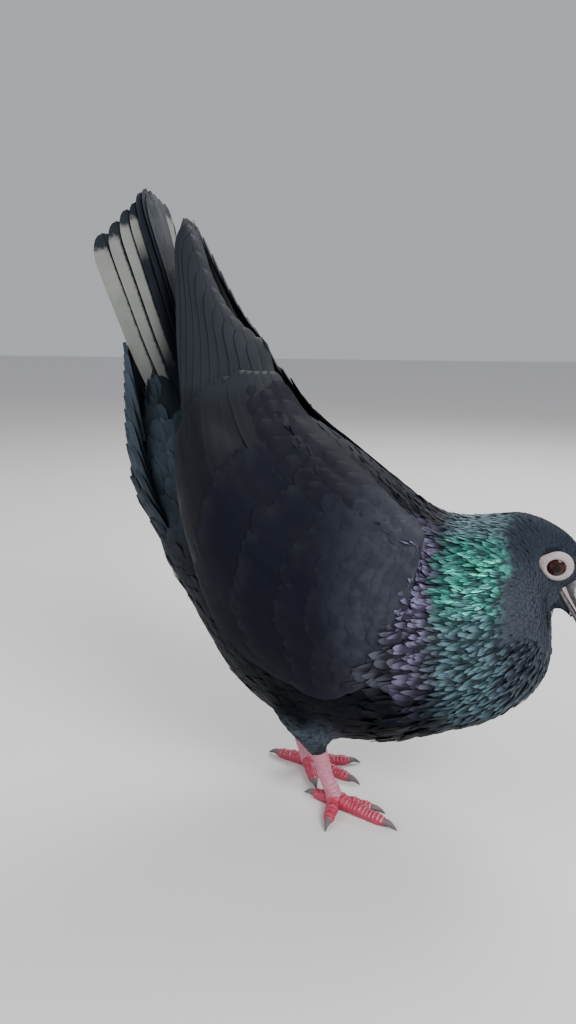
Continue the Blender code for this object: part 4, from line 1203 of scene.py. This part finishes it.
face = {
    # Each row is one oval: distance ahead of the eye, top, bottom, half width.
    "bill_upper": ((7.0, 4.5, -3.0, 4.6), (12.0, 5.0, -3.0, 4.8), (17, 4.2, -3.2, 4.4),
                   (22, 2.8, -3.4, 3.8), (27, 1.6, -3.5, 3.0), (31.5, 0.4, -3.8, 2.4),
                   (35, -1.7, -4.8, 1.7), (37.2, -4.2, -6.4, 0.7)),
    "bill_lower": ((7.0, -3.3, -6.2, 4.4), (12.0, -3.3, -6.5, 4.6), (19, -3.6, -6.5, 3.8),
                   (26, -3.9, -6.4, 2.7), (31, -4.2, -6.4, 2.1), (34.4, -5.1, -6.2, 1.0)),
    "cere": ((12.0, 6.0, -0.4, 2.1), (14.5, 6.8, -1.4, 3.1), (18, 6.2, -1.7, 3.3), (21.5, 4.6, -0.7, 2.6),
             (23.8, 2.8, 0.8, 1.2)),
    "cereOut": 2.1,
    "eyeRadius": 5.5, "eyeOut": 8.9, "eyeForward": math.radians(14),
    # Soft skin in the corner of the mouth, between the two halves of the bill.
    "gape": ((8.0, -1.6, -5.0, 4.9), (12.0, -1.9, -4.8, 4.95), (17, -2.6, -4.4, 4.35), (22, -2.9, -4.1, 3.7),
             (27, -3.1, -4.1, 2.7), (31.5, -3.5, -4.5, 1.9)),
    # Radius and height over the eyeball's centre, from the lid's edge outwards.
    "ring": ((3.72, 3.75), (3.76, 4.25), (3.95, 4.5), (4.35, 4.6), (4.9, 4.55), (5.45, 4.25), (5.95, 3.75),
             (6.3, 3.0), (6.35, 2.0), (5.3, 1.5)),
    "pleats": 23, "pleatHeight": 0.09, "drawn": 2.9,
}


def eyeMatrix(side):
    centre = headPlace(0, 0, side * face["eyeOut"])
    c, s = math.cos(headFrame["billDown"]), math.sin(headFrame["billDown"])
    turn = math.sin(face["eyeForward"])
    axis = Vector((c * turn, side * math.cos(face["eyeForward"]), -s * turn))
    return Matrix.Translation(centre) @ axis.to_track_quat("Z", "Y").to_matrix().to_4x4()


# Each pair is mixed by a fine noise.
faceTones = {
    "iris": ((0.014, 0.0035, 0.0032), (0.048, 0.011, 0.008)), "irisRim": (0.005, 0.0015, 0.0015),
    "pupil": (0.0003, 0.0003, 0.0003),
    "lid": ((0.36, 0.30, 0.305), (0.52, 0.48, 0.48)), "lidPores": (0.24, 0.18, 0.18),
    "cere": ((0.44, 0.42, 0.41), (0.72, 0.70, 0.68)),
    # Root and tip, and the heights where they start.
    "bill": ((0.150, 0.138, 0.152), (0.016, 0.014, 0.017), (94, 108)),
}


def eyeFinish():
    finish, tree = newFinish("wet eye", {"Roughness": 0.04, "IOR": 1.38, "Specular IOR Level": 0.35})
    where = uvMap(tree, "eye")
    radius = parts(tree, where)[0]
    iris = mix(tree, noise(tree, where, 1.0, 3, (3, 30, 1)), *faceTones["iris"])
    dress(tree, overlaid(tree, iris, (ramp(tree, radius, 0.54, 0.68), faceTones["irisRim"]),
                         (ramp(tree, radius, 0.29, 0.34, 1, 0), faceTones["pupil"])))
    return finish


def lidFinish():
    finish, tree = newFinish("bare eye skin", {
        "Roughness": 0.6, "Subsurface Weight": 0.1, "Subsurface Radius": (0.002, 0.0008, 0.0006),
        "Subsurface Scale": 1.0, "Specular IOR Level": 0.3})
    coords = birdCoords(tree)
    pores = cells(tree, coords, 1.9)
    colour = mix(tree, noise(tree, coords, 0.5, 3), *faceTones["lid"])
    colour = mix(tree, ramp(tree, pores, 0.1, 0.6, 0, 0.4), colour, faceTones["lidPores"])
    dress(tree, colour, pores, 0.00025)
    return finish


def hornFinish(name, light, dark, fade):
    # Horn that darkens from its root down to its tip, between two heights.
    finish, tree = newFinish(name, {"Specular IOR Level": 0.3})
    coords = birdCoords(tree)
    grain = noise(tree, coords, 0.7, 5)
    share = plus(tree, parts(tree, coords)[2], times(tree, grain, 6))
    colour = overlaid(tree, dark, (ramp(tree, share, *fade), light),
                      (ramp(tree, grain, 0.35, 0.65, 0, 0.5), dark))
    dress(tree, colour, grain, 0.0002, 0.5, ramp(tree, grain, 0.3, 0.7, 0.4, 0.6))
    return finish


def cereFinish():
    finish, tree = newFinish("powdery cere", {
        "Roughness": 0.85, "Sheen Weight": 0.15, "Subsurface Weight": 0.08})
    lumps = noise(tree, birdCoords(tree), 0.9, 5)
    dress(tree, mix(tree, lumps, *faceTones["cere"]), lumps, 0.0006)
    return finish


def makeEyeball(side, word, lens):
    # Its own map runs from the pupil outwards, and round it.
    bm = bmesh.new()
    bmesh.ops.create_uvsphere(bm, u_segments=40, v_segments=28, radius=face["eyeRadius"])
    layer = bm.loops.layers.uv.new("eye")
    for loop in (loop for f in bm.faces for loop in f.loops):
        p = loop.vert.co
        away = math.hypot(p.x, p.y) / face["eyeRadius"] if p.z > 0 else 1.0
        loop[layer].uv = (away, math.atan2(p.y, p.x) / (2 * math.pi) + 0.5)
    bmesh.ops.transform(bm, matrix=eyeMatrix(side), verts=bm.verts)
    finishPiece(bm, f"eye_{word}_ball", lens, (f"eye_{word}",), 180)


def makeEyeRing(side, word, lids):
    # Finely pleated, wider in front, and drawn out to a low point behind the eye.
    bm = bmesh.new()
    for r, h in face["ring"]:
        bmesh.ops.create_vert(bm, co=(r, 0, h))
    profile = list(bm.verts)
    edges = [bm.edges.new(pair) for pair in zip(profile, profile[1:] + profile[:1])]
    bmesh.ops.spin(bm, geom=profile + edges, cent=(0, 0, 0), axis=(0, 0, 1), angle=2 * math.pi,
                   steps=64, use_merge=True)
    matrix = eyeMatrix(side)
    back = (matrix.to_3x3().inverted() @ Vector((-1, 0, 0.2))).normalized()
    for vert in bm.verts:
        r = math.hypot(vert.co.x, vert.co.y)
        turn = math.atan2(vert.co.y, vert.co.x)
        pleat = math.sin(turn * face["pleats"] + r * 3) * max(0.0, 1 - abs(r - 5.2) / 1.3)
        vert.co.z += face["pleatHeight"] * pleat
        facing = (vert.co.x * back.x + vert.co.y * back.y) / max(r, 0.1)
        outer = min(max((r - 4.2) / 2, 0.0), 1.0)
        shift = outer * (face["drawn"] * max(facing, 0.0) ** 7 - 0.7)
        vert.co.x += back.x * shift
        vert.co.y += back.y * shift
        vert.co.z -= 0.5 * max(shift, 0)
    bmesh.ops.transform(bm, matrix=matrix, verts=bm.verts)
    finishPiece(bm, f"eye_ring_{word}_skin", lids, (f"eye_ring_{word}",), 60)


def makeFace():
    lens, lids = eyeFinish(), lidFinish()
    for side, word in ((-1, "right"), (1, "left")):
        makeEyeball(side, word, lens)
        makeEyeRing(side, word, lids)
    horn = hornFinish("grey horn", *faceTones["bill"])
    for node in ("bill_upper", "bill_lower"):
        bm = bmesh.new()
        loft(bm, headRings(face[node], 26), 28)
        finishPiece(bm, f"{node}_horn", horn, (node,), 60)
    bm = bmesh.new()
    for out in (-1, 1):
        loft(bm, headRings(face["cere"], 18, out * face["cereOut"]), 22)
    finishPiece(bm, "cere_skin_lobes", cereFinish(), ("cere",), 80)
    bm = bmesh.new()
    loft(bm, headRings(face["gape"], 20), 24)
    finishPiece(bm, "bill_gape_skin", lids, (), 60)


makeFace()
print("Stage 6: face")


# Legs and feet

legs = {
    "right": {"hub": (27.4, -15.7), "ankle": (20, -18.5, 27),
              "toes": {"inner": (1, 18), "middle": (-19.5, 28), "outer": (-84, 17), "hind": (162, 12)}},
    "left": {"hub": (3.6, 15.4), "ankle": (-4, 18.5, 27),
             "toes": {"inner": (-62, 19), "middle": (-19, 26), "outer": (24, 21), "hind": (167, 18)}},
}
foot = {
    "toeRadius": 3.4, "toeEnd": 2.3, "pad": 0.35, "joints": 3, "soleCut": 0.45,
    "shank": (4.2, 3.5, 3.3, 3.5, 4.1), "scutePitch": 1.9, "scuteHeight": 0.4,
    # Share of the claw's length, radius there, height of its middle.
    "claw": ((0, 1.75, 2.0), (0.2, 1.6, 2.25), (0.4, 1.3, 2.2), (0.6, 0.95, 1.85), (0.8, 0.6, 1.2),
             (1, 0.18, 0.4)),
    "clawLength": 6.4,
}


legTones = {
    "toe": ((0.28, 0.009, 0.034), (0.48, 0.040, 0.098)), "shank": ((0.36, 0.090, 0.140), (0.54, 0.23, 0.31)),
    "dry": (0.62, 0.46, 0.47),
    # Root and tip, and the heights where they start.
    "claw": ((0.22, 0.16, 0.165), (0.060, 0.048, 0.050), (2, 8)),
}


def scaleFinish(name, low, high):
    # Red scaled skin: each plate is edged with dry, whitish horn.
    finish, tree = newFinish(name, {
        "Roughness": 0.45, "Subsurface Weight": 0.15, "Subsurface Radius": (0.0025, 0.0008, 0.0006)})
    coords = birdCoords(tree)
    base = mix(tree, noise(tree, coords, 0.35, 4), low, high)
    broken = times(tree, noise(tree, coords, 0.9, 3), 0.6)
    dry = ramp(tree, plus(tree, attribute(tree, "plate"), broken), 0.95, 1.35, 0, 0.75)
    dress(tree, mix(tree, dry, base, legTones["dry"]), cells(tree, coords, 1.1), 0.0004, 0.6)
    return finish


def scaledLimb(bm, path, radii, topOnly):
    # A limb whose front or top is stepped into plates, each thicker towards its lower end, and which
    # stays over the floor.
    pitch, height = foot["scutePitch"], foot["scuteHeight"]
    plate = bm.verts.layers.float.get("plate") or bm.verts.layers.float.new("plate")
    total = sum((b - a).length for a, b in zip(path, path[1:]))
    path = [tuple(p) for p in path]
    rows = int(total / pitch * 5)
    before = set(bm.verts)
    matrices, marks = [], []
    for k in range(rows + 1):
        t = k / rows
        centre, ahead, back = (Vector(curve(path, at)) for at in (t, min(t + 0.02, 1), max(t - 0.02, 0)))
        ahead -= back
        radius = float(curve([(r,) for r in radii], t)[0])
        matrices.append(roundMatrix(centre, ahead, radius))
        marks.append((centre, (t * total / pitch) % 1.0))
    loft(bm, matrices, 18)
    # Raise the plates.
    centres = treeOf([centre for centre, _ in marks])
    for vert in set(bm.verts) - before:
        centre, share = marks[centres.find(vert.co)[1]]
        out = (vert.co - centre).normalized()
        amount = max(0.0, min(1.0, (out.dot(topOnly) + 0.1) / 0.35))
        vert.co += out * height * (share ** 1.5) * amount
        vert.co.z = max(vert.co.z, 0)
        vert[plate] = share * amount


def clawShape(bm, base, way):
    path = [base + way * (foot["clawLength"] * t) + Vector((0, 0, z)) for t, _, z in foot["claw"]]
    loft(bm, limbRings(path, [r for _, r, _ in foot["claw"]]), 14)


def makeLegs():
    toeSkin = scaleFinish("scaled skin", *legTones["toe"])
    shankSkin = scaleFinish("scaled skin pale", *legTones["shank"])
    horn = hornFinish("claw horn", *legTones["claw"])
    for word, leg in legs.items():
        ankle = Vector(leg["ankle"])
        under = Vector((*leg["hub"], 0))
        hub = under + Vector((0, 0, foot["toeRadius"] - foot["soleCut"] + 0.4))
        path = [ankle + (hub - ankle) * t for t in (-0.12, 0.2, 0.5, 0.8, 1.0)]
        path[2] += Vector((-0.8, 0, 0))
        bm = bmesh.new()
        scaledLimb(bm, path, foot["shank"], Vector((1, 0, 0.2)))
        finishPiece(bm, f"shank_{word}_skin", shankSkin, (f"shank_{word}",), 60)
        toesMesh, claws = bmesh.new(), bmesh.new()
        for toe, (turn, length) in leg["toes"].items():
            way = Vector((math.cos(math.radians(turn)), math.sin(math.radians(turn)), 0))
            path, radii = [], []
            for k in range(13):
                t = k / 12
                swell = foot["pad"] * math.cos(2 * math.pi * (t * foot["joints"] + 0.5))
                radius = foot["toeRadius"] + (foot["toeEnd"] - foot["toeRadius"]) * t + swell * (1 - t)
                path.append(under + way * length * t + Vector((0, 0, radius - foot["soleCut"])))
                radii.append(radius * (1, 0.9, 0.6)[max(k - 10, 0)])
            scaledLimb(toesMesh, path, radii, Vector((0, 0, 1)))
            clawShape(claws, under + way * (length - 0.6), way)
        finishPiece(toesMesh, f"foot_{word}_skin", toeSkin, (f"foot_{word}",), 60)
        names = [f"claw_{toe}_{word}" for toe in leg["toes"]]
        finishPiece(claws, f"claws_{word}", horn, names, 60)


makeLegs()
print("Stage 7: legs")


# Floor, light and camera

studio = {
    "floor": (0.74, 0.73, 0.715), "floorSize": 6, "world": 0.5, "worldTint": (0.93, 0.95, 1.0),
    "aim": (0, 0, 0.12),
    # Place, size and power of each soft light.
    "lights": (((0.95, -0.85, 0.95), 0.7, 26), ((-0.9, -0.7, 0.9), 0.9, 8), ((0.2, 0.9, 1.0), 0.8, 12)),
    "camera": (130.0, -361.6, 216.0), "turn": 20, "down": 12, "lens": 30,
}


def makeStudio():
    bm = bmesh.new()
    bmesh.ops.create_grid(bm, x_segments=1, y_segments=1, size=studio["floorSize"])
    ground = addObject("floor", meshOf(bm, "floor"))
    finish, tree = newFinish("studio floor", {"Roughness": 0.7})
    coords = tree.nodes.new("ShaderNodeTexCoord").outputs["Object"]
    worn = tuple(c * 0.97 for c in studio["floor"])
    dress(tree, mix(tree, noise(tree, coords, 9, 3), studio["floor"], worn))
    ground.data.materials.append(finish)
    for i, (place, size, power) in enumerate(studio["lights"]):
        lamp = bpy.data.lights.new(f"soft light {i}", "AREA")
        lamp.size = size
        lamp.energy = power
        lit = addObject(lamp.name, lamp)
        lit.location = place
        lit.rotation_euler = (Vector(studio["aim"]) - Vector(place)).to_track_quat("-Z", "Y").to_euler()
    world = bpy.data.worlds.new("pale room")
    world.use_nodes = True
    glow = world.node_tree.nodes["Background"].inputs
    glow["Color"].default_value = (*studio["worldTint"], 1)
    glow["Strength"].default_value = studio["world"]
    bpy.context.scene.world = world
    lens = bpy.data.cameras.new("camera")
    lens.sensor_width = 36
    lens.lens = studio["lens"]
    camera = addObject("camera", lens)
    x, y, z = studio["camera"]
    camera.location = (x * mm + standX, y * mm, z * mm)
    camera.rotation_euler = (math.radians(90 - studio["down"]), 0, math.radians(studio["turn"]))
    bpy.context.scene.camera = camera


makeStudio()
print("Stage 8: studio")
